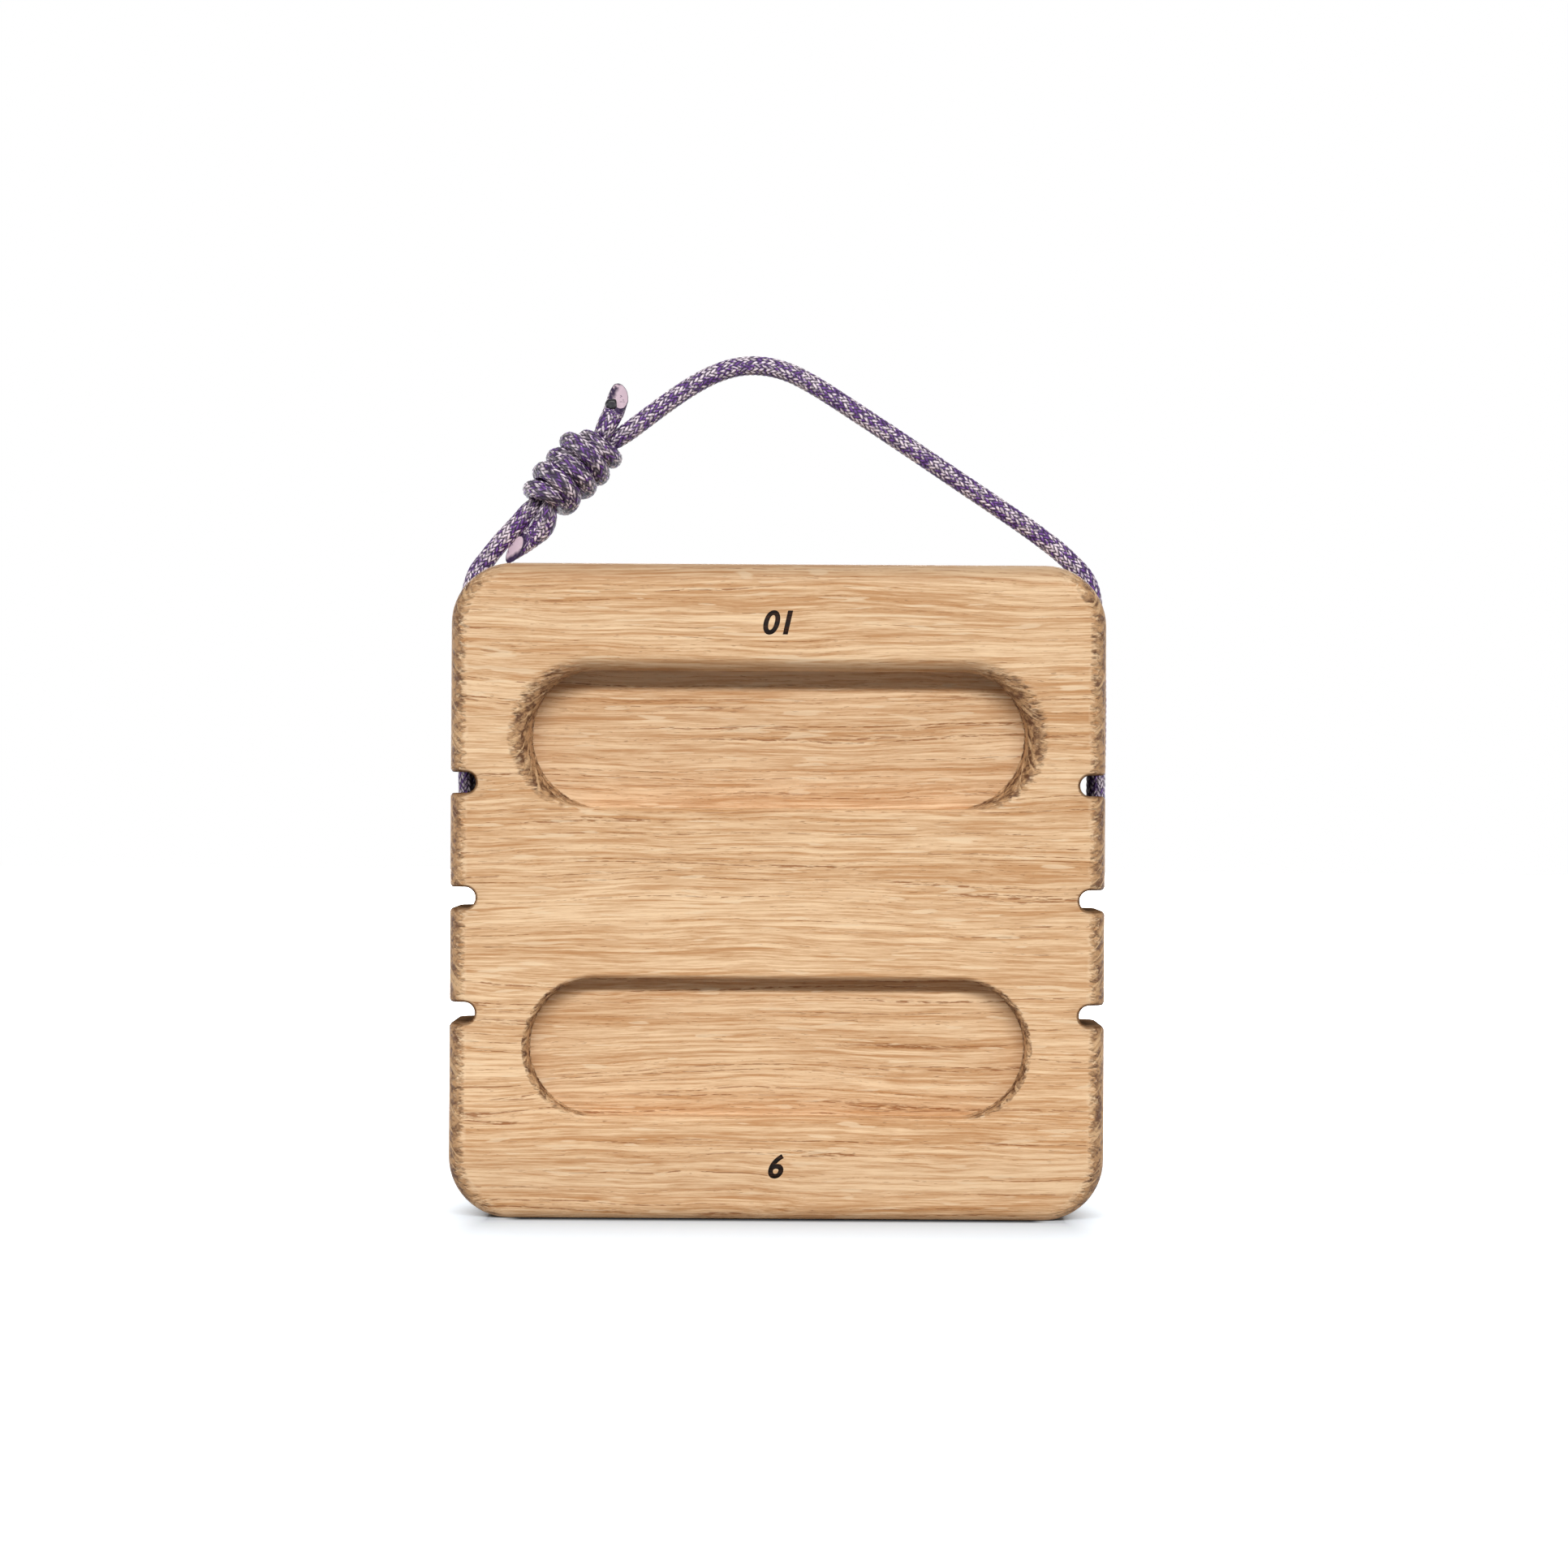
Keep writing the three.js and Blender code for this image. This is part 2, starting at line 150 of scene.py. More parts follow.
# %% [markdown]
# The cord is one rope on the real thing. Its route is the one the CAD follows: up behind the left side,
# through the knot, over in an arch, and down behind the right side, with both ends in the knot. The stretch
# that the block holds lies in two slanted bores that meet in the block.
#
# A smooth line through listed points could be a Blender curve, but a mesh tube lets the braid stand
# out as real yarns, so the line is worked out here and the tube is laid along it.

# %% Smooth lines
def smooth_line(stops, step):
    """A centripetal Catmull-Rom line through the stops, as Hermite pieces: each stop's slope is the usual
    sum of the slopes before, across and after it, with the square root of the distance between stops as its
    clock. The first three columns are the place; other columns ride along. Sampled at even lengths of about
    one step."""
    stops = np.asarray(stops, float)
    padded = np.vstack([2 * stops[0] - stops[1], stops, 2 * stops[-1] - stops[-2]])
    gaps = np.sqrt(np.linalg.norm(np.diff(padded[:, :3], axis=0), axis=1))
    clock = np.concatenate([[0], np.cumsum(gaps)])[:, None]
    before = (padded[1:-1] - padded[:-2]) / (clock[1:-1] - clock[:-2])
    across = (padded[2:] - padded[:-2]) / (clock[2:] - clock[:-2])
    after = (padded[2:] - padded[1:-1]) / (clock[2:] - clock[1:-1])
    slopes = before - across + after
    times = clock[1:-1, 0]
    dense = np.linspace(times[0], times[-1], 60 * len(stops))
    piece = np.clip(np.searchsorted(times, dense, side="right") - 1, 0, len(stops) - 2)
    width = (times[piece + 1] - times[piece])[:, None]
    share = (dense - times[piece])[:, None] / width
    line = (
        (2 * share**3 - 3 * share**2 + 1) * stops[piece]
        + (share**3 - 2 * share**2 + share) * width * slopes[piece]
        + (3 * share**2 - 2 * share**3) * stops[piece + 1]
        + (share**3 - share**2) * width * slopes[piece + 1]
    )
    lengths = np.concatenate([[0], np.cumsum(np.linalg.norm(np.diff(line[:, :3], axis=0), axis=1))])
    even = np.linspace(0, lengths[-1], max(2, int(round(lengths[-1] / step)) + 1))
    return np.stack([np.interp(even, lengths, column) for column in line.T], axis=1), even


# %% Cord route
CORD_RADIUS = 2.2 * MM
LOOP_PLANE = 20.5 * MM
CROSSING_HEIGHT = 69.8 * MM
CROSSING_END = 54 * MM
CROSSING_RUN = 58 * MM

LEFT_STRAND = np.array([
    [-63.9, 158.9, 0.6],
    [-66.0, 156.6, 0.4],
    [-69.0, 152.9, 0.1],
    [-71.6, 149.3, 0],
    [-73.3, 143.5, 0],
    [-73.8, 131.2, 0],
    [-73.8, 115.8, 0],
    [-73.6, 100.0, 0],
    [-73.3, 91.5, 0],
    [-72.1, 83.0, 0],
    [-69.3, 76.2, 0],
    [-64.4, 71.6, 0],
]) * MM
RIGHT_STRAND = np.array([
    [-33.0, 185.2, 0],
    [-27.3, 189.5, 0],
    [-21.5, 193.5, 0],
    [-15.8, 196.6, 0],
    [-10.0, 198.4, 0],
    [-4.3, 198.6, 0],
    [1.5, 197.3, 0],
    [7.3, 194.5, 0],
    [18.9, 187.2, 0],
    [42.0, 171.9, 0],
    [61.2, 158.9, 0],
    [68.3, 153.2, 0],
    [73.0, 147.6, 0],
    [74.7, 139.0, 0],
    [75.35, 121.5, 0],
    [75.2, 99.7, 0],
    [75.0, 91.7, 0],
    [73.8, 83.0, 0],
    [71.0, 76.2, 0],
    [66.1, 71.6, 0],
]) * MM


def strand_stops(side, points):
    """Stops of a free stretch from the block's mouth to the knot: across, away from the viewer, up."""
    behind = np.stack([points[:, 0], LOOP_PLANE - points[:, 2], points[:, 1]], axis=1)
    mouth = [[side * reach, LOOP_PLANE, CROSSING_HEIGHT] for reach in (CROSSING_END, CROSSING_RUN)]
    return np.vstack([mouth, behind[::-1]])


# %% [markdown]
# The knot is a double fisherman's knot: each end winds twice round the other's standing cord and goes back
# under its own turns. Its axis leans 50 degrees. A stop in it is given along that axis, by its distance
# from the axis and by its angle round it, which starts at the upper left and turns toward the viewer. Where
# the cord is squeezed inside the knot, a stop also has a smaller size and thickness.

# %% Knot route
KNOT_PLACE = np.array([-49.3 * MM, LOOP_PLANE, 172.8 * MM])
KNOT_TILT = np.radians(50.3)
KNOT_AXES = np.array([
    [np.cos(KNOT_TILT), 0, np.sin(KNOT_TILT)],
    [-np.sin(KNOT_TILT), 0, np.cos(KNOT_TILT)],
    [0, -1, 0],
])
SQUEEZED = 0.64

# angle, along the axis, distance from the axis, size, thickness toward the axis
FIRST_TURNS = [
    [350, -8.0, 2.1, SQUEEZED, 1],
    [350, -4.8, 2.0, SQUEEZED, 1],
    [345, -2.0, 2.0, SQUEEZED, 1],
    [325, 0.0, 2.0, SQUEEZED, 1],
    [302, 2.0, 2.0, SQUEEZED, 1],
]
UPPER_TURNS = FIRST_TURNS + [
    [300, 4.8, 2.0, SQUEEZED, 1],
    [308, 7.2, 2.0, SQUEEZED, 1],
    [328, 8.2, 2.1, SQUEEZED, 1],
    [352, 8.6, 2.4, 0.68, 1],
    [376, 8.7, 2.9, 0.76, 1],
    [400, 8.7, 3.7, 0.88, 0.96],
    [425, 8.8, 4.5, 0.96, 0.94],
    [455, 9.0, 5.0, 1, 0.94],
    [495, 9.15, 5.1, 1, 0.94],
    [540, 9.0, 5.2, 1, 0.94],
    [585, 8.4, 5.3, 1, 0.94],
    [630, 7.3, 5.4, 1, 0.94],
    [675, 6.0, 5.4, 1, 0.94],
    [710, 5.3, 5.5, 1, 0.94],
    [740, 5.5, 5.8, 1, 0.92],
    [775, 6.0, 5.95, 1, 0.92],
    [810, 6.05, 5.9, 1, 0.92],
    [845, 5.5, 5.7, 1, 0.94],
    [880, 4.5, 5.5, 1, 0.94],
    [910, 3.8, 5.4, 1, 0.94],
    [950, 2.8, 5.4, 1, 0.94],
    [990, 1.8, 5.4, 1, 0.94],
    [1035, 0.7, 5.5, 1, 0.94],
    [1075, 0.3, 5.6, 1, 0.94],
    [1100, 1.0, 5.5, 1, 0.94],
    [1125, 1.9, 5.0, 0.97, 0.92],
    [1147, 2.7, 4.1, 0.86, 0.9],
    [1158, 3.7, 3.0, 0.72, 1],
    [1160, 5.0, 2.2, SQUEEZED, 1],
    [1160, 8.2, 2.0, SQUEEZED, 1],
]
LOWER_TURNS = FIRST_TURNS + [
    [302, 4.6, 2.0, SQUEEZED, 1],
    [315, 6.0, 2.0, SQUEEZED, 1],
    [345, 6.6, 2.1, SQUEEZED, 1],
    [380, 6.7, 2.6, 0.68, 1],
    [415, 6.7, 3.5, 0.78, 0.96],
    [445, 6.9, 4.4, 0.9, 0.94],
    [475, 7.5, 4.9, 1, 0.94],
    [508, 8.4, 5.0, 1, 0.94],
    [540, 8.9, 5.0, 1, 0.94],
    [585, 8.7, 4.9, 1, 0.94],
    [630, 7.9, 5.0, 1, 0.94],
    [675, 6.9, 4.6, 1, 0.94],
    [710, 6.3, 4.0, 1, 0.94],
    [740, 5.4, 4.5, 1, 0.94],
    [770, 3.9, 5.3, 1, 0.92],
    [810, 2.95, 5.9, 1, 0.92],
    [845, 3.1, 5.9, 1, 0.92],
    [875, 3.5, 5.9, 1, 0.94],
    [905, 4.5, 5.8, 1, 0.94],
    [950, 4.2, 5.5, 1, 0.94],
    [990, 3.3, 5.4, 1, 0.94],
    [1035, 1.6, 5.2, 1, 0.94],
    [1080, 0.3, 5.0, 1, 0.94],
    [1110, -0.4, 5.3, 1, 0.92],
    [1150, -1.2, 5.8, 1, 0.92],
    [1185, -1.1, 5.7, 1, 0.92],
    [1212, -0.3, 5.2, 0.96, 0.92],
    [1226, 0.8, 4.2, 0.84, 0.95],
    [1212, 2.2, 3.0, 0.72, 1],
    [1180, 4.0, 2.2, SQUEEZED, 1],
    [1162, 8.2, 2.0, SQUEEZED, 1],
]

# along the axis, toward the upper left, toward the viewer, size
UPPER_ENTRY = [
    [-16.5, 2.15, 0.6, 1],
    [-13.5, 2.3, 0.3, 0.92],
    [-11.3, 2.2, 0.05, 0.78],
]
UPPER_TAIL = [
    [10.4, 0.5, 1.95, 0.72],
    [12.0, 0.55, 1.9, 0.92],
    [14.0, 1.0, 1.8, 1.05],
    [16.5, 1.55, 1.5, 1.12],
    [19.5, 2.5, 1.1, 1.15],
    [22.0, 3.45, 0.8, 1.16],
    [24.2, 4.2, 0.7, 1.1],
]
LOWER_ENTRY = [
    [-16.5, 3.8, 0, 1],
    [-13, 2.8, -0.4, 0.92],
    [-11.2, 2.35, -0.5, 0.78],
]
LOWER_TAIL = [
    [10.6, 1.4, 1.4, 1.02],
    [12, 2.1, 0.8, 1.18],
    [13.5, 2.6, 0.4, 1.24],
    [15, 2.8, 0.2, 1.2],
    [16.8, 2.5, 0.3, 1.15],
    [19.5, 1.95, 0.8, 1.1],
    [22.5, 1.2, 1.9, 1.05],
    [25.1, 0.6, 3.0, 0.95],
]


def knot_stops(entry, turns, tail, turned):
    """The stops of one half in metres, with size and thickness columns. Turned gives the half that is turned
    half round about the line of sight, so its first two directions are reversed."""
    angle, along, distance, size, thickness = np.array(turns, float).T
    turn = np.radians(angle)
    inside = rows_of(along, distance * np.cos(turn), distance * np.sin(turn))
    entry, tail = np.array(entry, float), np.array(tail, float)
    place = np.vstack([entry[:, :3], inside, tail[:, :3]]) * MM
    size = np.concatenate([entry[:, 3], size, tail[:, 3]])
    thickness = np.concatenate([np.ones(len(entry)), thickness, np.ones(len(tail))])
    if turned:
        place = place * [-1, -1, 1]
    return np.column_stack([KNOT_PLACE + place @ KNOT_AXES, size, thickness])


# %% [markdown]
# The cord's sheath is a braid of 32 yarns, 16 to the left and 16 to the right, each passing over two and
# under two of the others, so it shows rows of V-shaped stitches along the cord. Two numbers place a point
# on it: how many yarns of each direction lie between it and the start. They are kept as the tube's UV map,
# so the colour of the yarns follows the same lattice as their relief.

# %% Cord tube
YARNS = 16
BRAID_LEAD = 23 * MM
YARN_RELIEF = 0.18 * MM
MIDDLE_HEIGHT = 0.6
RING_STEP = 0.26 * MM
TUBE_SIDES = 64


def carried_sides(tangents, side):
    """One direction across the tube for each ring: the last ring's, less its part along the new tangent."""
    carried = np.empty_like(tangents)
    for i, tangent in enumerate(tangents):
        side = side - tangent * side.dot(tangent)
        side = side / np.linalg.norm(side)
        carried[i] = side
    return carried


def braid_height(first, second):
    """How far the yarn on top stands out, from 0 to 1. A yarn is a round back across its own width, and
    half a sine wave along the two others that it passes over."""
    over = np.mod(np.floor(first) + np.floor(second), 4) < 2
    across = np.where(over, np.mod(first, 1), np.mod(second, 1))
    passed = np.where(over, second + np.floor(first), first + np.floor(second))
    along = np.mod(passed, 4) / 2 - np.where(over, 0, 1)
    back = np.sqrt(np.clip(1 - (2 * across - 1) ** 2, 0, 1))
    return back * (0.35 + 0.65 * np.sin(np.pi * np.clip(along, 0, 1)))


def ring_directions(centre):
    """Each ring's tangent, and the directions out from it: the cosine and the sine of the turn round the
    tube, times two directions square to the tangent."""
    tangents = np.gradient(centre, axis=0)
    tangents /= np.linalg.norm(tangents, axis=1)[:, None]
    side = carried_sides(tangents, np.array([0, -1.0, 0]))
    other = np.cross(tangents, side)
    turn = np.linspace(0, 2 * np.pi, TUBE_SIDES, endpoint=False)
    out = np.cos(turn)[None, :, None] * side[:, None] + np.sin(turn)[None, :, None] * other[:, None]
    return tangents, out


def pressed(offset, centre, thickness):
    """Offsets from the centre line whose part along the line away from the knot's axis is times thickness."""
    from_axis = (centre - KNOT_PLACE) @ KNOT_AXES.T
    from_axis[:, 0] = 0
    from_axis /= np.maximum(np.linalg.norm(from_axis, axis=1), 1e-9)[:, None]
    away = from_axis @ KNOT_AXES
    part = (offset * away[:, None]).sum(axis=2)
    return offset - part[:, :, None] * away[:, None] * (1 - thickness)[:, None, None]


def braid_corners(rows, first, second):
    """The two lattice numbers at the corners of a tube's faces. Where the tube closes, they run on by a whole
    turn and don't start again."""
    row, column = np.divmod(np.arange((rows - 1) * TUBE_SIDES), TUBE_SIDES)
    corner_rows = np.stack([row, row, row + 1, row + 1], axis=1)
    corner_columns = np.stack([column, column + 1, column + 1, column], axis=1)
    return np.stack([first[corner_rows, corner_columns], second[corner_rows, corner_columns]], axis=-1)


# %% Cord ends
CAP_SCALES = np.array([0.92, 0.6, 0.25])
CAPS = len(CAP_SCALES)
CAP_RISE = 0.35 * MM
SINGED_EDGE = 0.5 * MM
SINGED_END = 1.6 * MM


def closed_ends(rings, tangents):
    """The rings with three smaller ones past each end. Each is the end ring times its scale, moved out along
    the cord by one less the scale's square, so an end is a flat dome."""
    rise = (CAP_RISE * (1 - CAP_SCALES**2))[:, None, None]
    shrunk = []
    for end, sign in ((0, -1), (-1, 1)):
        middle = rings[end].mean(axis=0)
        smaller = middle + (rings[end] - middle) * CAP_SCALES[:, None, None]
        shrunk.append(smaller + sign * rise * tangents[end])
    return np.concatenate([shrunk[0][::-1], rings, shrunk[1]])


def drawn_back(out, tangents, from_end, cut):
    """How far a slanted cut draws each point back: its depth, times how much the point faces the cut, fading
    away over the cut's zone."""
    facing = out[-1] @ np.array(cut["toward"])
    facing = (1 + facing / np.abs(facing).max()) / 2
    fade = smooth_step(-from_end, -cut["zone"], 0)
    return tangents[-1] * (cut["depth"] * fade[:, None] * facing)[:, :, None]


def cut_marks(out, from_end, cut):
    """Two numbers for each point: 1 on the cut's face, and how singed it is. The cord's last edge is singed
    all round, and the face on the side that the cut's singed direction points to."""
    face, singed = np.zeros((2, len(from_end) + 2 * CAPS, TUBE_SIDES))
    if cut is not None:
        face[-CAPS:] = 1
        singed[CAPS:-CAPS] = 1 - smooth_step(from_end, SINGED_EDGE, SINGED_END)[:, None]
        singed[-CAPS:] = smooth_step(out[-1] @ np.array(cut["singed"]) * CAP_SCALES[:, None], 0.25, 0.5)
    return face.ravel(), singed.ravel()


# %% Cord piece
def cord_tube(name, stops, cut=None):
    """A braided tube along the stops. Each ring is the cord's circle times its size, pressed toward the
    knot's axis by its thickness, plus the braid's relief. The end ring is drawn back on one side by the
    cut's slant."""
    line, lengths = smooth_line(stops, RING_STEP)
    centre, size, thickness = line[:, :3], line[:, 3], line[:, 4]
    tangents, out = ring_directions(centre)
    run = lengths[:, None] / BRAID_LEAD * YARNS
    share = np.arange(TUBE_SIDES + 1) / TUBE_SIDES * YARNS
    first, second = share + run, share - run
    relief = (braid_height(first[:, :-1], second[:, :-1]) - MIDDLE_HEIGHT) * YARN_RELIEF
    reach = CORD_RADIUS * size[:, None] + relief
    rings = centre[:, None] + pressed(out * reach[:, :, None], centre, thickness)
    from_end = lengths[-1] - lengths
    if cut is not None:
        rings = rings - drawn_back(out, tangents, from_end, cut)
    capped = closed_ends(rings, tangents)
    around = np.arange(TUBE_SIDES)
    lids = [around[::-1].tolist(), (around + (len(capped) - 1) * TUBE_SIDES).tolist()]
    faces = tube_faces(len(capped), TUBE_SIDES).tolist() + lids
    piece = new_piece(name, capped.reshape(-1, 3), faces)
    corners = np.zeros((len(piece.data.loops), 2))
    braid = braid_corners(len(rings), first, second).reshape(-1, 2)
    before = 4 * CAPS * TUBE_SIDES
    corners[before : before + len(braid)] = braid
    layer = piece.data.uv_layers.new(name="braid")
    layer.data.foreach_set("uv", corners.ravel().astype(np.float32))
    face, singed = cut_marks(out, from_end, cut)
    point_numbers(piece, "cut_face", face)
    point_numbers(piece, "singed", singed)
    face_outward(piece)
    print(name, round(lengths[-1] / MM, 1), "mm long,", len(faces), "faces")
    return piece, centre, lengths[-1]


def with_sizes(stops):
    """Stops of full size and thickness."""
    return np.column_stack([stops, np.ones(len(stops)), np.ones(len(stops))])


# %% [markdown]
# Both stretches of the loop run from a mouth in the block's back up to the knot, through it, and out again
# as a cut tail. The tails' ends are cut at a slant.

# %% Loop of cord
UPPER_CUT = {"toward": (0.4, -0.9, 0), "singed": (-0.75, 0, 0.65), "depth": 6.2 * MM, "zone": 9 * MM}
LOWER_CUT = {"toward": (-0.6, -0.75, 0.3), "singed": (0.3, 0, -1), "depth": 6.0 * MM, "zone": 9 * MM}

left_stops = np.vstack([
    with_sizes(strand_stops(-1, LEFT_STRAND)),
    knot_stops(UPPER_ENTRY, UPPER_TURNS, UPPER_TAIL, False),
])
right_stops = np.vstack([
    with_sizes(strand_stops(1, RIGHT_STRAND)),
    knot_stops(LOWER_ENTRY, LOWER_TURNS, LOWER_TAIL, True),
])
left_cord, left_line, left_length = cord_tube("left_cord", left_stops, UPPER_CUT)
right_cord, right_line, right_length = cord_tube("right_cord", right_stops, LOWER_CUT)

# %% [markdown]
# The upper end was melted so that it doesn't fray, and a black bead of melted cord stuck to the cut's left
# side. It is a ball with one radius for each direction, made uneven by smooth random numbers.

# %% Melted bead
BEAD_ROWS = 20
BEAD_SIDES = 32
BEAD_AT = np.array([18.5, 3.2, 3.1]) * MM
BEAD_HALF = np.array([1.45, 1.2, 0.9]) * MM
BEAD_LUMP = 0.9 * MM
BEAD_UNEVEN = 0.3


def lumpy_ball():
    """Points of a ball, row by row from pole to pole with both poles last, and its faces. Each point is the
    sine and cosine of its rise and turn, times one plus a smooth random number."""
    turn = np.linspace(0, 2 * np.pi, BEAD_SIDES, endpoint=False)
    rise = spread(0, np.pi, BEAD_ROWS + 1)[:, None]
    ball = rows_of(np.sin(rise) * np.cos(turn), np.sin(rise) * np.sin(turn), np.cos(rise))
    ball = np.vstack([ball.reshape(-1, 3), [[0, 0, 1], [0, 0, -1]]])
    uneven = 1 + BEAD_UNEVEN * lumps(ball * MM, BEAD_LUMP, 17)
    around = np.arange(BEAD_SIDES)
    after = np.roll(around, -1)
    pole, last = len(ball) - 2, (BEAD_ROWS - 1) * BEAD_SIDES
    caps = np.vstack([rows_of(pole, after, around), rows_of(pole + 1, last + around, last + after)])
    return ball * uneven[:, None], tube_faces(BEAD_ROWS, BEAD_SIDES).tolist() + caps.tolist()


ball_points, ball_faces = lumpy_ball()
bead_points = KNOT_PLACE + (BEAD_AT + ball_points * BEAD_HALF) @ KNOT_AXES
melted_bead = new_piece("melted_bead", bead_points, ball_faces)
face_outward(melted_bead)
print("melted bead", len(ball_points), "points")

# %% [markdown]
# The stretch in the block goes in at one mouth, down a slanted bore, round a bend in the middle and out at
# the other mouth. It stays with the block when the loop swings.

# %% Cord in the block
BORE_MOUTH = 52 * MM
BORE_MIDDLE = 3 * MM
BEND_LENGTH = 3.4 * MM
BEND_RISE = 0.14 * BEND_LENGTH
MOUTH_BEND = 2 * MM
STRAIGHT_START = 10 * MM


def toward(start, end, length):
    """The point that far from start on the way to end."""
    return start + (end - start) / np.linalg.norm(end - start) * length


bend = np.array([0, BORE_MIDDLE, CROSSING_HEIGHT])
mouths = [np.array([side * BORE_MOUTH, LOOP_PLANE, CROSSING_HEIGHT]) for side in (-1, 1)]
crossing_ends = [np.array([side * CROSSING_END, LOOP_PLANE, CROSSING_HEIGHT]) for side in (-1, 1)]
bore_stops = [
    [
        crossing_end,
        toward(mouth, bend, MOUTH_BEND),
        toward(mouth, bend, STRAIGHT_START),
        (mouth + bend) / 2,
        toward(bend, mouth, STRAIGHT_START),
        toward(bend, mouth, BEND_LENGTH),
    ]
    for crossing_end, mouth in zip(crossing_ends, mouths)
]
in_block_stops = np.array([*bore_stops[0], bend + [0, BEND_RISE, 0], *bore_stops[1][::-1]])
block_cord, block_line, block_length = cord_tube("cord_through_block", with_sizes(in_block_stops))

# %% [markdown]
# The block. Its outline seen from the front is a square with round corners and three slots in each side.
# The slots go right through, so the same outline serves at every depth: only its rounded edges draw in. A
# shell is that outline carried from the front face over the rounding, along the side and over to the back
# face.

# %% Block outline
HALF = 75 * MM
HALF_THICKNESS = 18 * MM
CORNER = 14 * MM
EDGE = 4.5 * MM
SLOT_HEIGHTS = np.array([47.0, 73.3, 99.6]) * MM
SLOT_RADIUS = 2.4 * MM
SLOT_DEPTH = 6.0 * MM
SLOT_CENTRE = HALF - SLOT_DEPTH + SLOT_RADIUS
LIP = 0.7 * MM
SLOT_STEPS = 36
CORNER_STEPS = 14
BOTTOM_STEPS = 49
LAND_STEPS = 9
TOP_LAND_STEPS = 13


def outer_depth(across, behind):
    """How far a point lies under the block's rounded outer surface, seen from above: the usual distance to a
    rounded rectangle, taken inward."""
    past_side = np.abs(across) - (HALF - EDGE)
    past_face = np.abs(behind) - (HALF_THICKNESS - EDGE)
    outside = np.hypot(np.maximum(past_side, 0), np.maximum(past_face, 0))
    return EDGE - outside - np.minimum(np.maximum(past_side, past_face), 0)


def slot_contour(inset, behind, height):
    """The right side's slot from its lower lip round to its upper lip, at one depth. Points are spread evenly
    along the U and pushed into the wood near the outer surface, by a quarter circle of the lip's radius."""
    mouth = HALF - inset
    straight = max(mouth - SLOT_CENTRE, 0)
    open_angle = np.arccos(np.clip((SLOT_CENTRE - mouth) / SLOT_RADIUS, 0, 1))
    arc = SLOT_RADIUS * 2 * open_angle
    total = arc + 2 * straight
    run = np.linspace(0, total, SLOT_STEPS + 1)
    angle = np.clip((run - straight) / SLOT_RADIUS, 0, 2 * open_angle) - open_angle
    lower, upper = run < straight, run > straight + arc
    on_arc = SLOT_CENTRE - SLOT_RADIUS * np.cos(angle)
    across = np.where(lower, mouth - run, np.where(upper, mouth - (total - run), on_arc))
    up = np.where(lower, -SLOT_RADIUS, np.where(upper, SLOT_RADIUS, SLOT_RADIUS * np.sin(angle)))
    out_across = np.where(lower | upper, 0, -np.cos(angle))
    out_up = np.where(lower, -1, np.where(upper, 1, np.sin(angle)))
    under = np.clip(outer_depth(across, behind), 0, LIP)
    push = LIP - np.sqrt(np.maximum(LIP**2 - (LIP - under) ** 2, 0))
    return rows_of(across + push * out_across, height + up + push * out_up)


def outline_at(inset, behind):
    """The whole outline at one depth, counterclockwise from the front: across, up. The right side is the
    bottom corner, three slots with lands between them and the top corner, and the left side is its mirror
    image."""
    half, radius = HALF - inset, CORNER - inset
    flat = half - radius
    angle = np.linspace(-np.pi / 2, 0, CORNER_STEPS + 1)
    corner = rows_of(flat + radius * np.cos(angle), HALF - flat + radius * np.sin(angle))
    bottom = rows_of(spread(-flat, flat, BOTTOM_STEPS), HALF - half)
    side, start = [corner], HALF - flat
    for height in SLOT_HEIGHTS:
        slot = slot_contour(inset, behind, height)
        side += [rows_of(half, spread(start, slot[0, 1], LAND_STEPS)), slot]
        start = slot[-1, 1]
    side.append(rows_of(half, spread(start, HALF + flat, TOP_LAND_STEPS)))
    side.append([0, 2 * HALF] + corner[::-1] * [1, -1])
    right = np.vstack(side)
    top = [0, 2 * HALF] + bottom[::-1] * [1, -1]
    return np.vstack([bottom, right, top, right[::-1] * [-1, 1]])


# %% Block shell
ROUNDING_STEPS = 13
SIDE_STEPS = 10

rounding = np.linspace(0, np.pi / 2, ROUNDING_STEPS)
front_rows = rows_of(EDGE * (1 - np.sin(rounding)), EDGE * (1 - np.cos(rounding)) - HALF_THICKNESS)
side_rows = rows_of(0, spread(EDGE - HALF_THICKNESS, HALF_THICKNESS - EDGE, SIDE_STEPS))
back_rows = front_rows[::-1] * [1, -1]
shell = []
for inset, behind in np.vstack([front_rows, side_rows, back_rows]):
    outline = outline_at(inset, behind)
    shell.append(rows_of(outline[:, 0], behind, outline[:, 1]))
shell = np.array(shell)
print("shell", len(shell), "rows of", shell.shape[1], "points")

# %% [markdown]
# A pocket is a stack of outlines too, each straight above and below and round at both ends. It starts at
# the face, rolls over the rim, follows the wall, and turns through a small fillet into the floor. The upper
# pocket's top wall leans in, so fingers hook behind its fat lip.

# %% Pockets
POCKET_LENGTH = 114 * MM
POCKET_HEIGHT = 31.5 * MM
FILLET = 0.5 * MM
INCUT_POCKET = {
    "middle": 109.7 * MM,
    "depth": 10 * MM,
    "top": 3.7 * MM,
    "bottom": 1.2 * MM,
    "end": 5.4 * MM,
    "incut": np.radians(12),
}
FLAT_POCKET = {
    "middle": 39.35 * MM,
    "depth": 6 * MM,
    "top": 1.1 * MM,
    "bottom": 1.2 * MM,
    "end": 1.4 * MM,
    "incut": 0.0,
}
END_STEPS = 110
STRAIGHT_STEPS = 43
RIM_ROWS = 22
WALL_ROWS = 8
FILLET_ROWS = 4


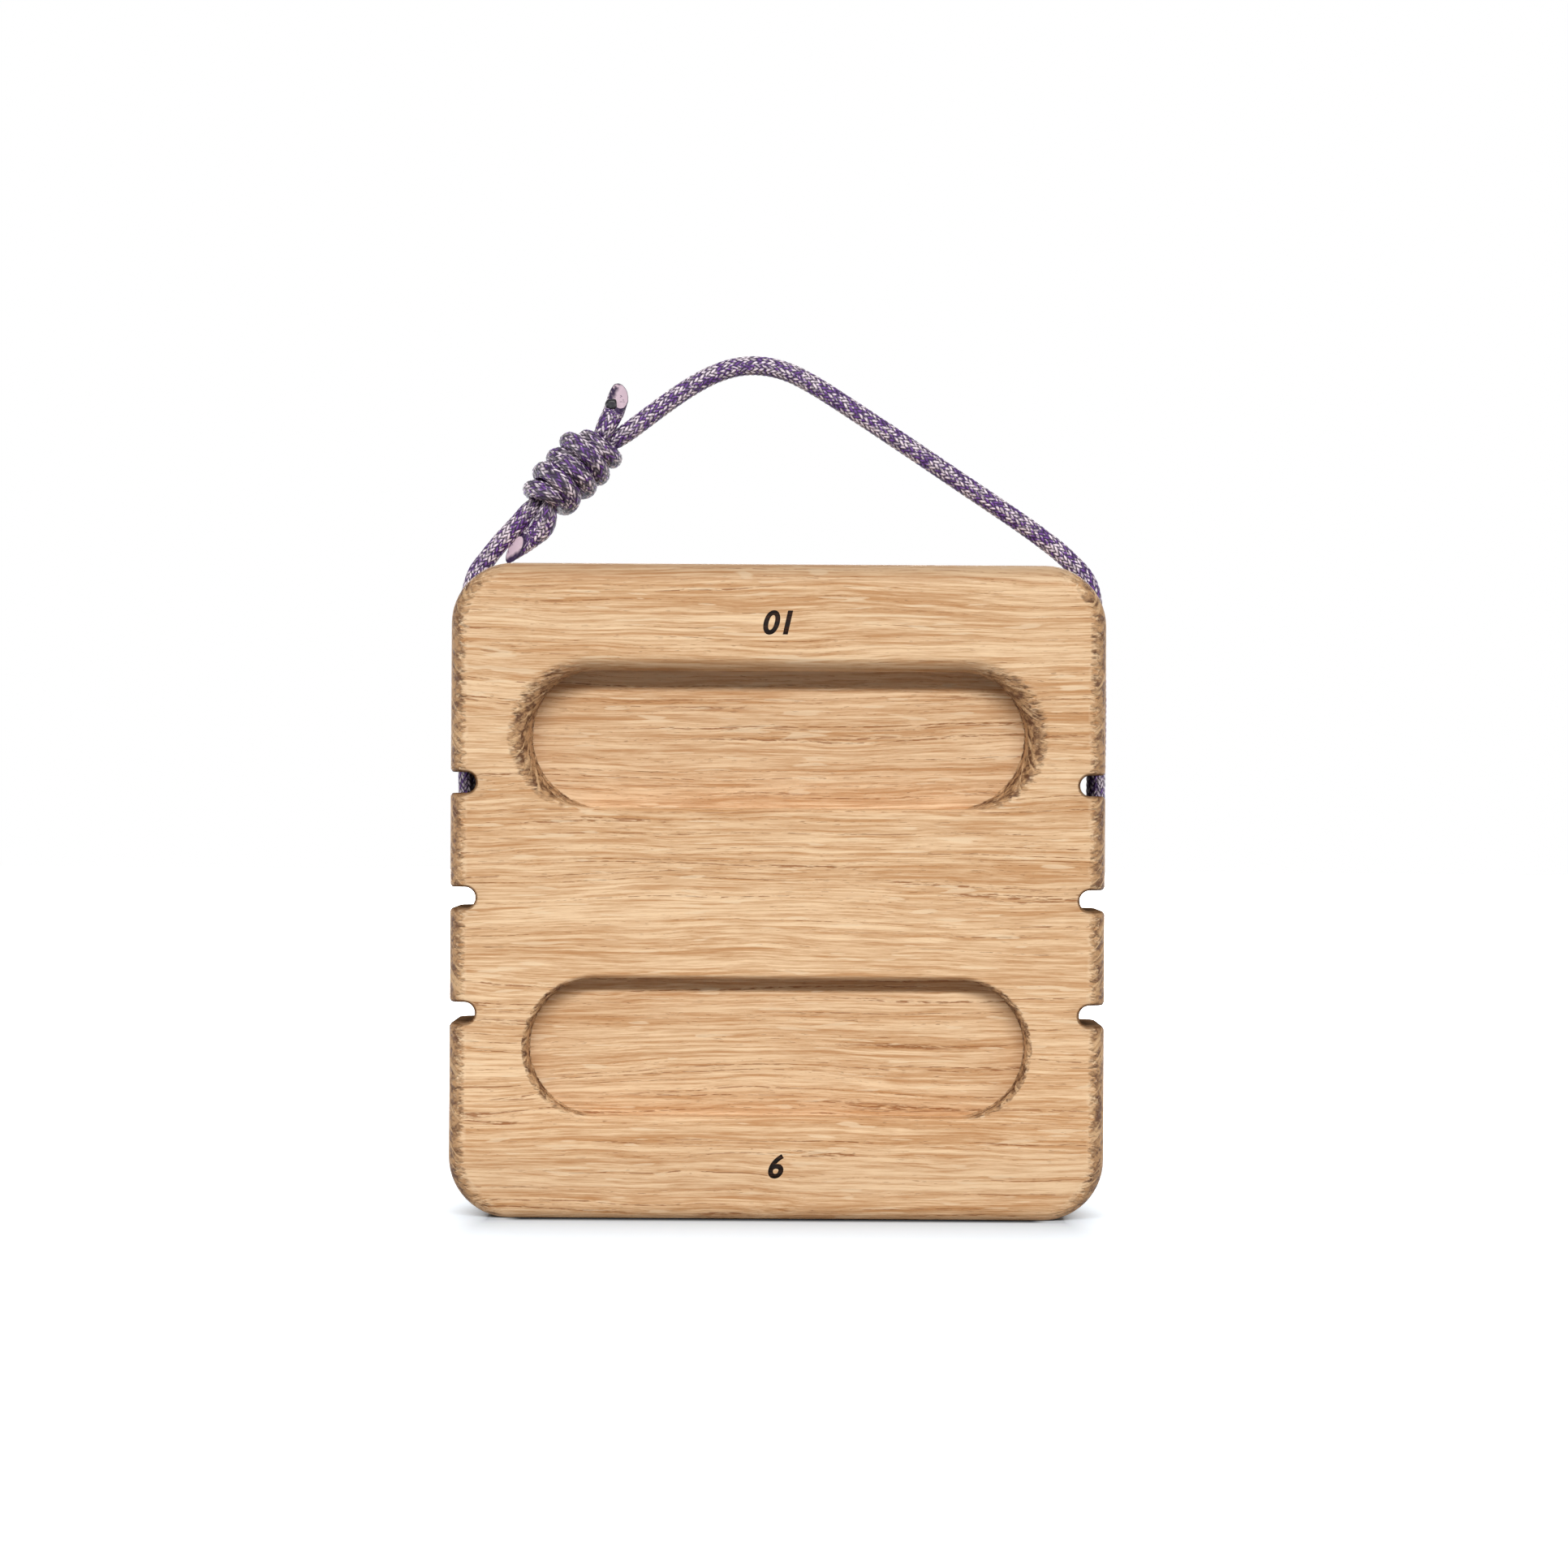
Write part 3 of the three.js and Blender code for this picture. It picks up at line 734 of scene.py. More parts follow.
def stadium(top, bottom, half_length):
    """Across and up of one outline, counterclockwise from the front: two straights and two half circles."""
    radius, middle = (top - bottom) / 2, (top + bottom) / 2
    flat = half_length - radius
    angle = np.linspace(-np.pi / 2, np.pi / 2, END_STEPS + 1)
    right = rows_of(flat + radius * np.cos(angle), middle + radius * np.sin(angle))
    run = spread(flat, -flat, STRAIGHT_STEPS)
    left = [0, 2 * middle] - right
    return np.vstack([right, rows_of(run, top), left, rows_of(-run, bottom)])


def flare(radius, depth):
    """How far a rim stands back at a depth: a quarter circle of its radius."""
    return radius - np.sqrt(radius**2 - max(radius - depth, 0) ** 2)


def pocket_depths(pocket):
    """Each ring's depth, and how far the fillet draws it in: even turns round the rim, even steps down the
    wall and even turns round the fillet."""
    rim = max(pocket["top"], pocket["bottom"], pocket["end"])
    wall_end = pocket["depth"] - FILLET
    wall_start = min(rim, wall_end)
    rolled = rim * (1 - np.cos(np.linspace(0, np.pi / 2, RIM_ROWS)))
    before = np.concatenate([rolled[rolled < wall_start], np.linspace(wall_start, wall_end, WALL_ROWS)])
    turn = np.linspace(0, np.pi / 2, FILLET_ROWS + 1)[1:]
    depths = np.concatenate([before, wall_end + FILLET * np.sin(turn)])
    return depths, np.concatenate([np.zeros(len(before)), FILLET * (1 - np.cos(turn))])


def pocket_rings(pocket):
    """Every ring from the face to the floor's edge."""
    top = pocket["middle"] + POCKET_HEIGHT / 2
    bottom = pocket["middle"] - POCKET_HEIGHT / 2
    rings = []
    for depth, inward in zip(*pocket_depths(pocket)):
        lean = max(depth - pocket["top"], 0) * np.tan(pocket["incut"])
        ring = stadium(
            top + flare(pocket["top"], depth) + lean - inward,
            bottom - flare(pocket["bottom"], depth) + inward,
            POCKET_LENGTH / 2 + flare(pocket["end"], depth) - inward,
        )
        rings.append(rows_of(ring[:, 0], depth - HALF_THICKNESS, ring[:, 1]))
    return np.array(rings)


# %% [markdown]
# The wood's growth rings lie at a slant in the thickness, and its rays stand square to them. The tool that
# cut the pockets tore the end grain at their round ends, along those rays.

# %% Torn pocket ends
RADIAL = (0.0, 0.55, 0.83)
TANGENTIAL = (0.0, 0.83, -0.55)
FRAY = 0.22 * MM
FINE_LUMP = 0.55 * MM
COARSE_LUMP = 0.8 * MM
RAY_STRETCH = [0.4, 0.5, 1.6]


def frayed(rings):
    """Tears the end grain a little: points on the rounded ends move into or out of the wood by lumpy noise
    that is long along the grain's rays. The first and last rings stay, so that the patches still meet."""
    rows, columns, _ = rings.shape
    out = np.cross(np.gradient(rings, axis=1), np.gradient(rings, axis=0))
    out /= np.maximum(np.linalg.norm(out, axis=2), 1e-12)[:, :, None]
    flat = rings.reshape(-1, 3)
    place = rows_of(flat[:, 0], flat @ RADIAL, flat @ TANGENTIAL) * RAY_STRETCH
    rough = lumps(place, FINE_LUMP, 3) + 0.7 * lumps(flat, COARSE_LUMP, 5)
    row_share = np.sin(np.pi * np.linspace(0, 1, rows))[:, None] ** 0.6
    end_grain = smooth_step(np.abs(out[:, :, 0]), 0.12, 0.6)
    push = rough.reshape(rows, columns) * FRAY * end_grain * row_share
    return rings + out * push[:, :, None]


incut_rings = frayed(pocket_rings(INCUT_POCKET))
flat_rings = frayed(pocket_rings(FLAT_POCKET))
print("pocket rings", incut_rings.shape, flat_rings.shape)

# %% [markdown]
# The cord's bore in the block is a tube that goes in at one mouth of the back face and out at the other. Each
# half is a round bore at a slant, cut off by the back face at one end and by the middle of the block at the
# other.

# %% Bore
BORE_RADIUS = 3 * MM
BORE_SIDES = 48
BORE_ROWS = 12
MOUTH_EASING = 0.4 * MM
HALF_EASED = 0.3 * MOUTH_EASING


def bore_half(mouth):
    """Rings from the back face to the middle of the block: on each line along the bore, points spread evenly
    from where it leaves the back face to where it crosses the middle."""
    direction = toward(mouth, bend, 1) - mouth
    upward = np.array([0, 0, 1.0])
    sideways = np.cross(direction, upward)
    angle = np.linspace(0, 2 * np.pi, BORE_SIDES, endpoint=False)
    if mouth[0] > 0:
        angle = np.pi - angle
    rim = np.cos(angle)[:, None] * sideways + np.sin(angle)[:, None] * upward

    def cut_at(radius, axis, where):
        """The bore's ring where its lines cross a plane square to that axis."""
        start = bend + rim * radius
        return start + direction * ((where - start[:, axis]) / direction[axis])[:, None]

    face = cut_at(BORE_RADIUS + MOUTH_EASING, 1, HALF_THICKNESS)
    half = cut_at(BORE_RADIUS + HALF_EASED, 1, HALF_THICKNESS - HALF_EASED)
    eased = cut_at(BORE_RADIUS, 1, HALF_THICKNESS - MOUTH_EASING)
    middle = cut_at(BORE_RADIUS, 0, 0)
    share = np.linspace(0, 1, BORE_ROWS)[:, None, None]
    return np.concatenate([[face, half], eased + (middle - eased) * share])


left_bore, right_bore = bore_half(mouths[0]), bore_half(mouths[1])
print("bore middle gap", float(np.abs(left_bore[-1] - right_bore[-1]).max()))

# %% [markdown]
# The faces between are flat: the front face round both pockets, each pocket's floor, and the back face
# round the mouths. Each is filled with small even triangles, so that its edge points match the ring that it
# meets.

# %% Flat faces
FILL_STEP = 3 * MM
CLEAR_OF_EDGE = 0.35 * FILL_STEP


def inside(points, loop):
    """Whether each point lies in a closed loop, by counting the edges to its right."""
    x, y = points[:, 0][:, None], points[:, 1][:, None]
    ax, ay = loop[:, 0][None], loop[:, 1][None]
    bx, by = np.roll(loop[:, 0], -1)[None], np.roll(loop[:, 1], -1)[None]
    crosses = (ay > y) != (by > y)
    where = ax + (y - ay) * (bx - ax) / np.where(by == ay, 1, by - ay)
    return (crosses & (x < where)).sum(axis=1) % 2 == 1


def in_area(points, loops):
    """Whether each point lies inside the first loop and outside the others."""
    kept = inside(points, loops[0])
    for loop in loops[1:]:
        kept &= ~inside(points, loop)
    return kept


def flat_fill(*rings):
    """Points and triangles of the flat area inside the first ring and outside the others, at their depth."""
    loops = [ring[:, [0, 2]] for ring in rings]
    edge_points = np.vstack(loops)
    low, high = loops[0].min(axis=0), loops[0].max(axis=0)
    steps = [np.arange(low[i] + FILL_STEP / 2, high[i], FILL_STEP) for i in (0, 1)]
    grid = np.stack(np.meshgrid(*steps), axis=-1).reshape(-1, 2)
    grid[:, 0] += (np.floor(grid[:, 1] / FILL_STEP) % 2) * FILL_STEP / 2
    grid = grid[in_area(grid, loops)]
    nearest = np.abs(grid[:, None] - edge_points[None]).max(axis=2).min(axis=1)
    points = np.vstack([edge_points, grid[nearest > CLEAR_OF_EDGE]]) / MM
    starts = np.cumsum([0] + [len(loop) for loop in loops])
    rounds = [np.arange(len(loop)) + start for loop, start in zip(loops, starts)]
    edges = np.vstack([np.stack([ring, np.roll(ring, -1)], axis=1) for ring in rounds])
    filled = delaunay_2d_cdt([Vector(p) for p in points.tolist()], edges.tolist(), [], 0, 1e-7)
    placed = np.array([tuple(p) for p in filled[0]]) * MM
    triangles = np.array([tuple(t) for t in filled[2]])
    kept = in_area(placed[triangles].mean(axis=1), loops)
    return rows_of(placed[:, 0], rings[0][0, 1], placed[:, 1]), triangles[kept]


tubes = [shell, incut_rings, flat_rings, left_bore, right_bore]
patches = [(rings.reshape(-1, 3), tube_faces(*rings.shape[:2])) for rings in tubes]
patches += [
    flat_fill(shell[0], incut_rings[0], flat_rings[0]),
    flat_fill(incut_rings[-1]),
    flat_fill(flat_rings[-1]),
    flat_fill(shell[-1], left_bore[0], right_bore[0]),
]
print("patches", [len(faces) for points, faces in patches])

# %% [markdown]
# The patches are put together, welded where they meet and turned to face outward. Weighted normals keep the
# flat faces flat right up to their rounded edges. A number on each point says how burnt it is: the slots were
# cut with a hot, dark edge.

# %% Block
WELD = 0.004 * MM
SLIVER = 0.001 * MM
BURN_START = SLOT_RADIUS + 0.45 * LIP
BURN_END = SLOT_RADIUS + 1.15 * LIP


def burnt_share(points):
    """How burnt each point is: 1 at a slot, fading out a little past its lip."""
    across = np.abs(points[:, 0]) - SLOT_CENTRE
    to_slot = [np.hypot(np.minimum(across, 0), points[:, 2] - height) for height in SLOT_HEIGHTS]
    fading = 1 - smooth_step(np.min(to_slot, axis=0), BURN_START, BURN_END)
    return np.where(across > -SLOT_RADIUS - 2 * LIP, fading, 0)


starts = np.cumsum([0] + [len(points) for points, faces in patches])
block_faces = [face for (_, faces), start in zip(patches, starts) for face in (faces + start).tolist()]
oak_block = new_piece("oak_board", np.vstack([points for points, faces in patches]), block_faces)
welded = bmesh.new()
welded.from_mesh(oak_block.data)
bmesh.ops.remove_doubles(welded, verts=welded.verts, dist=WELD)
bmesh.ops.dissolve_degenerate(welded, edges=welded.edges, dist=SLIVER)
bmesh.ops.recalc_face_normals(welded, faces=welded.faces)
open_edges = sum(1 for edge in welded.edges if len(edge.link_faces) != 2)
print("block volume cm3", round(welded.calc_volume(signed=True) * 1e6, 1), "open edges", open_edges)
welded.to_mesh(oak_block.data)
welded.free()
oak_block.data.shade_smooth()
point_numbers(oak_block, "burnt", burnt_share(points_of(oak_block.data)))
weighted = oak_block.modifiers.new("flat_faces", "WEIGHTED_NORMAL")
weighted.weight = 100
weighted.keep_sharp = False
print("block", len(oak_block.data.polygons), "faces")

# %% [markdown]
# The depth of each pocket's edge is burnt into the wood as a plain number, 10 upside down at the top and 6
# at the bottom, because the board is turned over to use the upper edge. Text becomes a mesh first, then its
# place goes into the mesh, and it lies a hair proud of the face.

# %% Burnt numbers
NUMBER_HEIGHT = 5.6 * MM
NUMBER_PROUD = 0.03 * MM
NUMBER_LEAN = 0.22
NUMBER_BOLD = 0.028
NUMBER_WELD = 0.0005 * MM


def text_mesh(name, text):
    """Leaning text as a flat mesh."""
    curve = bpy.data.curves.new(name + "_text", "FONT")
    curve.body = text
    curve.shear = NUMBER_LEAN
    curve.offset = NUMBER_BOLD
    curve.resolution_u = 8
    drawn = bpy.data.objects.new(name + "_text", curve)
    bpy.context.scene.collection.objects.link(drawn)
    bpy.context.view_layer.update()
    mesh = bpy.data.meshes.new_from_object(drawn)
    bpy.data.objects.remove(drawn)
    bpy.data.curves.remove(curve)
    return mesh


def burnt_number(name, text, middle, way_up):
    """A number scaled to its height, stood up on the front and given a thickness. Its way up is 1 or -1."""
    mesh = text_mesh(name, text)
    flat = points_of(mesh)
    low, high = flat.min(axis=0), flat.max(axis=0)
    flat = (flat - (low + high) / 2) * NUMBER_HEIGHT / (high[1] - low[1]) * way_up
    placed = rows_of(middle[0] + flat[:, 0], -HALF_THICKNESS - NUMBER_PROUD, middle[1] + flat[:, 1])
    mesh.vertices.foreach_set("co", placed.ravel().astype(np.float32))
    mesh.name = name
    piece = bpy.data.objects.new(name, mesh)
    bpy.context.scene.collection.objects.link(piece)
    welded = bmesh.new()
    welded.from_mesh(mesh)
    bmesh.ops.remove_doubles(welded, verts=welded.verts, dist=NUMBER_WELD)
    welded.to_mesh(mesh)
    welded.free()
    thick = piece.modifiers.new("thickness", "SOLIDIFY")
    thick.thickness = 2 * NUMBER_PROUD
    thick.offset = -1
    print(name, len(flat), "points")
    return piece


number_ten = burnt_number("depth_number_10", "10", (-0.2 * MM, 136.5 * MM), -1)
number_six = burnt_number("depth_number_6", "6", (0, 12.4 * MM), 1)

# %% [markdown]
# Materials are node trees. A Wire is one output of a node, and a sum with a Wire in it makes a Math node,
# so a material can be read as its formula. The other helpers make one kind of node each.

# %% Node helpers
def node(tree, kind, inputs=None, **settings):
    """A node with its settings and inputs. An input given as a Wire is linked, and any other value is set."""
    made = tree.nodes.new(kind)
    for name, value in settings.items():
        setattr(made, name, value)
    for key, value in (inputs or {}).items():
        if isinstance(value, Wire):
            tree.links.new(value.socket, made.inputs[key])
        else:
            made.inputs[key].default_value = value
    return made


def wire(tree, kind, inputs=None, output=0, **settings):
    """One output of a new node."""
    return Wire(tree, node(tree, kind, inputs, **settings).outputs[output])


class Wire:
    """One output of a node, and the sums that can be done with it."""

    def __init__(self, tree, socket):
        self.tree, self.socket = tree, socket

    def math(self, operation, *others):
        return wire(self.tree, "ShaderNodeMath", dict(enumerate((self, *others))), operation=operation)

    def __abs__(self):
        return self.math("ABSOLUTE")

    def __add__(self, other):
        return self.math("ADD", other)

    def __mul__(self, other):
        return self.math("MULTIPLY", other)

    def __sub__(self, other):
        return self.math("SUBTRACT", other)

    def __rsub__(self, other):
        return wire(self.tree, "ShaderNodeMath", {0: other, 1: self}, operation="SUBTRACT")


def between(value, low, high, start=0.0, end=1.0):
    """value from low to high becomes start to end, smoothly and clamped."""
    inputs = {0: value, 1: low, 2: high, 3: start, 4: end}
    return wire(value.tree, "ShaderNodeMapRange", inputs, interpolation_type="SMOOTHSTEP")


def band(value, low, full, ebb, high):
    """0 up to low, 1 from full to ebb, and 0 again from high on."""
    return between(value, low, full) * between(value, ebb, high, 1.0, 0.0)


def mixed(share, first, second):
    """Colours mixed by share."""
    return wire(share.tree, "ShaderNodeMix", {0: share, 6: first, 7: second}, 2, data_type="RGBA")


def joined(x, y, z):
    """A vector from three numbers, the first of them a Wire."""
    return wire(x.tree, "ShaderNodeCombineXYZ", {0: x, 1: y, 2: z})


def parts(vector):
    """A vector's three numbers."""
    made = node(vector.tree, "ShaderNodeSeparateXYZ", {0: vector})
    return [Wire(vector.tree, output) for output in made.outputs]


def stretched(vector, x, y, z):
    """A vector times three factors."""
    return wire(vector.tree, "ShaderNodeVectorMath", {0: vector, 1: (x, y, z)}, operation="MULTIPLY")


def measured(operation, vector, other=(0, 0, 0)):
    """One number from a vector: its length, its distance from another, or their dot product."""
    return wire(vector.tree, "ShaderNodeVectorMath", {0: vector, 1: other}, "Value", operation=operation)


def noise(vector, detail=2.0, roughness=0.5, distortion=0.0):
    """Smooth random numbers of about one unit's size, from 0 to 1."""
    inputs = {"Vector": vector, "Scale": 1.0, "Detail": detail, "Roughness": roughness}
    inputs["Distortion"] = distortion
    return wire(vector.tree, "ShaderNodeTexNoise", inputs, "Fac")


def own_place(tree):
    """The place on the object, in metres."""
    return wire(tree, "ShaderNodeTexCoord", output="Object")


def own_normal(tree):
    """The three numbers of the direction that the object's surface faces."""
    return parts(wire(tree, "ShaderNodeTexCoord", output="Normal"))


def attribute(tree, name):
    """A number kept on the mesh's points."""
    return wire(tree, "ShaderNodeAttribute", output="Fac", attribute_name=name)


def linear(red, green, blue):
    """A colour as seen, from 0 to 255, in the linear values that a shader takes."""
    seen = np.array([red, green, blue]) / 255
    return (*np.where(seen <= 0.04045, seen / 12.92, ((seen + 0.055) / 1.055) ** 2.4), 1.0)


def new_material(name, roughness, specular=None):
    """A material, its tree and its shader, with one roughness all over, and one specular level if it is
    given."""
    material = bpy.data.materials.new(name)
    material.use_nodes = True
    shader = material.node_tree.nodes["Principled BSDF"]
    shader.inputs["Roughness"].default_value = roughness
    if specular is not None:
        shader.inputs["Specular IOR Level"].default_value = specular
    return material, material.node_tree, shader


def plug(value, shader, name):
    """Links a Wire to one of the shader's inputs."""
    value.tree.links.new(value.socket, shader.inputs[name])


def raise_surface(shader, height, distance, strength):
    """Adds a relief that is too fine for the mesh."""
    inputs = {"Height": height, "Distance": distance, "Strength": strength}
    plug(wire(height.tree, "ShaderNodeBump", inputs), shader, "Normal")


def put_on(material, *pieces):
    """Gives pieces their material."""
    for piece in pieces:
        piece.data.materials.append(material)
    print(material.name, len(material.node_tree.nodes), "nodes on", [piece.name for piece in pieces])


# %% [markdown]
# Oak is a solid texture: the grain runs left to right, the growth rings lie at a slant in the thickness,
# and the rays stand square to them. So every cut shows the right figure by itself: stripes, pores and pale
# flecks on the faces, and dark mottled end grain with pale ray lines at the sides and at the pockets' round
# ends. All lengths in the tree are millimetres.

# %% Oak on the faces
FACE_DARK, FACE_LIGHT = linear(190, 140, 92), linear(244, 212, 172)
LINE_BROWN, PORE_BROWN = linear(204, 152, 100), linear(146, 88, 40)
RAY_PALE = linear(240, 213, 177)


def wood_place(millimetres):
    """The wood's own coordinates: along the grain, across the growth rings (the way the rays run) and along
    the rings. Three sizes of noise move the rings up and down, so that no line is straight."""
    wander = noise(stretched(millimetres, 0.013, 0.03, 0.04), 1.0)
    ripple = noise(stretched(millimetres, 0.045, 0.1, 0.16), 1.0)
    wave = noise(stretched(millimetres, 0.09, 0.15, 0.22), 1.0)
    radial = measured("DOT_PRODUCT", millimetres, RADIAL) + (wander * 6.0 + ripple * 1.2 + wave * 0.5)
    return joined(parts(millimetres)[0], radial, measured("DOT_PRODUCT", millimetres, TANGENTIAL))


def growth_lines(wood):
    """How near a growth line is, and the pores: dashes along the line, and a few scattered near it."""
    from_line = abs(noise(stretched(wood, 0.004, 0.36, 0.05), 1.0, 0.5) - 0.5)
    near_line = between(from_line, 0.02, 0.16, 1.0, 0.0)
    dashes = between(noise(stretched(wood, 0.3, 3.0, 3.0), 2.0, 0.6), 0.46, 0.56)
    zone = between(noise(stretched(wood, 0.02, 0.4, 0.2), 1.0), 0.42, 0.56)
    scattered = between(noise(stretched(wood, 0.42, 6.5, 6.5), 1.0, 0.4), 0.69, 0.74)
    in_line = between(from_line, 0.005, 0.02, 1.0, 0.0) * dashes * zone
    return near_line, in_line.math("MAXIMUM", scattered * (near_line * 0.75 + 0.05))


def face_colour(wood, fibre, near_line, pores):
    """Stripes from brown to pale along the grain, browner near a growth line, with pores and pale ray
    flecks."""
    broad = noise(stretched(wood, 0.007, 0.16, 0.05), 1.0, 0.5)
    stripes = noise(stretched(wood, 0.010, 1.0, 0.35), 4.0, 0.78)
    tone = broad * 0.12 + stripes * 0.42 + fibre * 0.46
    colour = mixed(between(tone, 0.39, 0.61), FACE_DARK, FACE_LIGHT)
    colour = mixed(near_line * 0.12, colour, LINE_BROWN)
    colour = mixed(pores * 0.85, colour, PORE_BROWN)
    rays = between(noise(stretched(wood, 0.085, 0.2, 1.7), 1.0, 0.4, 0.2), 0.66, 0.70)
    return mixed(rays * 0.6, colour, RAY_PALE)


# %% Oak end grain
TORN_DARK, TORN_LIGHT = linear(92, 57, 32), linear(192, 151, 109)
TORN_RAY, TORN_PORE = linear(224, 186, 142), linear(84, 52, 28)
LATE_WOOD, EARLY_WOOD = linear(214, 172, 128), linear(160, 114, 72)
SAWN_RAY, SAWN_PORE = linear(228, 192, 152), linear(92, 58, 32)
RINGS_PER_MM = 0.36


def sawn_colour(wood, rays, pores):
    """A clean sawn end: each growth ring starts with darker wood full of pores, and rays cross the rings."""
    year = (parts(wood)[1] * RINGS_PER_MM).math("FRACT")
    early = band(year, 0.0, 0.08, 0.1, 0.6)
    colour = mixed(early * 0.6, LATE_WOOD, EARLY_WOOD)
    colour = mixed(rays * 0.3, colour, SAWN_RAY)
    return mixed(pores * (early * 0.7 + 0.1), colour, SAWN_PORE)


def end_colour(wood, tone, ray, sideways, at_side):
    """Torn end grain is dark and blotchy, with pale rays and dark pores. Where the wood faces straight
    sideways, at the block's sawn sides, it is nearly all clean."""
    rays = between(ray, 0.55, 0.66)
    pores = between(noise(stretched(wood, 0.4, 3.4, 3.4), 1.0, 0.5), 0.60, 0.68)
    torn = mixed(between(tone, 0.4, 0.6), TORN_DARK, TORN_LIGHT)
    torn = mixed(rays * 0.8, torn, TORN_RAY)
    torn = mixed(pores * (0.6 - at_side * 2.2), torn, TORN_PORE)
    return mixed(between(sideways, 0.86, 0.99, 0.0, 0.85), torn, sawn_colour(wood, rays, pores))


# %% Oak's painted shade and highlight
RIM_HIGHLIGHT_PALE, EDGE_SHADE_BROWN = linear(246, 220, 184), linear(96, 62, 36)
SHADE_BROWN, BURNT_BROWN = linear(86, 44, 14), linear(104, 72, 47)
UPPER_LIP = (120.5, 122.5, 126.0, 127.5)
LOWER_LIP = (51.5, 53.0, 55.5, 56.5)


def painted_edge_shade(depth, height):
    """How much painted shade darkens the wood at its top and bottom edges, and a little down in the pockets
    and on everything behind them.
    """
    top = between(height, 145.0, 149.5, 0.0, 0.4)
    bottom = between(height, 8.0, 24.0, 0.15, 0.0) * between(height, 2.0, 7.0, 0.2, 1.0)
    pocket_shade = between(depth, -16.0, -9.0, 0.0, 0.07)
    return top.math("MAXIMUM", bottom).math("MAXIMUM", pocket_shade)


def under_lips(across, depth, height, upward):
    """How shaded the wood is under the two pocket lips, and wherever it faces down above the bottom edge."""
    lips = band(height, *UPPER_LIP).math("MAXIMUM", band(height, *LOWER_LIP))
    in_pocket = between(depth, -17.5, -15.0, 0.0, 0.26) * between(depth, 6.0, 10.0, 1.0, 0.0)
    in_pocket = in_pocket * between(abs(across), 62.0, 66.0, 1.0, 0.0)
    under = between(upward, -0.65, -0.08, 0.34, 0.0) * between(height, 15.0, 20.0)
    return (lips * in_pocket).math("MAXIMUM", under)


# %% Oak
def oak_material():
    """Oak, with its relief. The end grain's share grows with how much the surface faces sideways, with an
    edge torn by noise."""
    material, tree, shader = new_material("oiled_oak", 0.56)
    millimetres = stretched(own_place(tree), 1000.0, 1000.0, 1000.0)
    across, depth, height = parts(millimetres)
    facing = own_normal(tree)
    sideways = abs(facing[0])
    wood = wood_place(millimetres)
    fibre = noise(stretched(wood, 0.06, 1.7, 1.7), 4.0, 0.75)
    blotch = noise(stretched(wood, 0.3, 0.42, 0.5), 2.0, 0.6)
    speck = noise(stretched(wood, 0.25, 1.0, 1.1), 2.0, 0.55)
    end_ray = noise(stretched(wood, 0.05, 0.09, 1.1), 2.0, 0.5, 0.3)
    near_line, pores = growth_lines(wood)

    at_side = between(abs(across), 62.0, 66.0, 0.0, 0.17)
    torn_edge = (speck - 0.45) * between(sideways, 0.0, 0.25, 0.0, 1.8)
    end_share = between(sideways + torn_edge - at_side, 0.06, 0.55)
    # A painted highlight: a pale line where the face turns into its rounding at the sides, broken up by
    # noise.
    rim_highlight = band(sideways, 0.03, 0.14, 0.2, 0.4) * between(at_side, 0.05, 0.17)
    rim_highlight = rim_highlight * between(blotch, 0.45, 0.6, 0.0, 0.22)
    face = mixed(rim_highlight, face_colour(wood, fibre, near_line, pores), RIM_HIGHLIGHT_PALE)
    end = end_colour(wood, blotch * 0.6 + speck * 0.4, end_ray, sideways, at_side)
    colour = mixed(end_share, face, end)
    # Painted shade on the top and bottom edges, and a little down in the pockets.
    colour = mixed(painted_edge_shade(depth, height), colour, EDGE_SHADE_BROWN)
    # Painted shade under the pocket lips, on top of the lamp's real shadow there, and on faces that look
    # down.
    colour = mixed(under_lips(across, depth, height, facing[2]), colour, SHADE_BROWN)
    burnt = attribute(tree, "burnt")
    plug(mixed(burnt * 0.75, colour, BURNT_BROWN), shader, "Base Color")
    plug(0.3 - burnt * 0.3, shader, "Specular IOR Level")

    torn = speck * 1.3 + end_ray * 2.2
    raise_surface(shader, fibre * 0.4 - pores * 0.45 + torn * end_share, 0.0002, 0.8)
    return material


put_on(oak_material(), oak_block)


def burnt_material():
    """Charred wood: near black, browner where the burn is thin, along the grain."""
    material, tree, shader = new_material("burnt_mark", 0.7, 0.15)
    streak = noise(stretched(own_place(tree), 220.0, 900.0, 2600.0), 2.0)
    plug(mixed(between(streak, 0.45, 0.72), linear(16, 7, 4), linear(60, 36, 22)), shader, "Base Color")
    return material


put_on(burnt_material(), number_ten, number_six)

# %% [markdown]
# The yarns are spun from violet and silver-lilac filaments, so a yarn's colour comes and goes along it. The
# colour asks the lattice which yarn is on top, and takes a smooth random number along that yarn.

# %% Braid lattice
def braid_at(tree):
    """The braid at a point, from the tube's two lattice numbers. Gives both numbers, the place along the
    yarn on top, its own lane in the noise, the same lane spread across its width, and how high it stands
    there."""
    first, second, _ = parts(wire(tree, "ShaderNodeUVMap", uv_map="braid"))
    first_yarn, second_yarn = first.math("FLOOR"), second.math("FLOOR")
    over = (first_yarn + second_yarn).math("FLOORED_MODULO", 4.0).math("LESS_THAN", 2.0)

    def on_top(second_on_top, first_on_top):
        """The number that belongs to the yarn on top."""
        return wire(tree, "ShaderNodeMix", {0: over, 2: second_on_top, 3: first_on_top}, data_type="FLOAT")

    along = on_top(first, second)
    across = on_top(second.math("FRACT"), first.math("FRACT"))
    passed = on_top(first + second_yarn, second + first_yarn).math("FLOORED_MODULO", 4.0)
    crown = (on_top(passed - 2.0, passed) * (np.pi / 2)).math("SINE")
    edge = abs(across * 2.0 - 1.0)
    height = (1.0 - edge * edge) * (crown * 0.65 + 0.35)
    lane = on_top(second_yarn + 400.5, first_yarn) * 7.37
    return first, second, along, lane, lane + across * 2.4, height
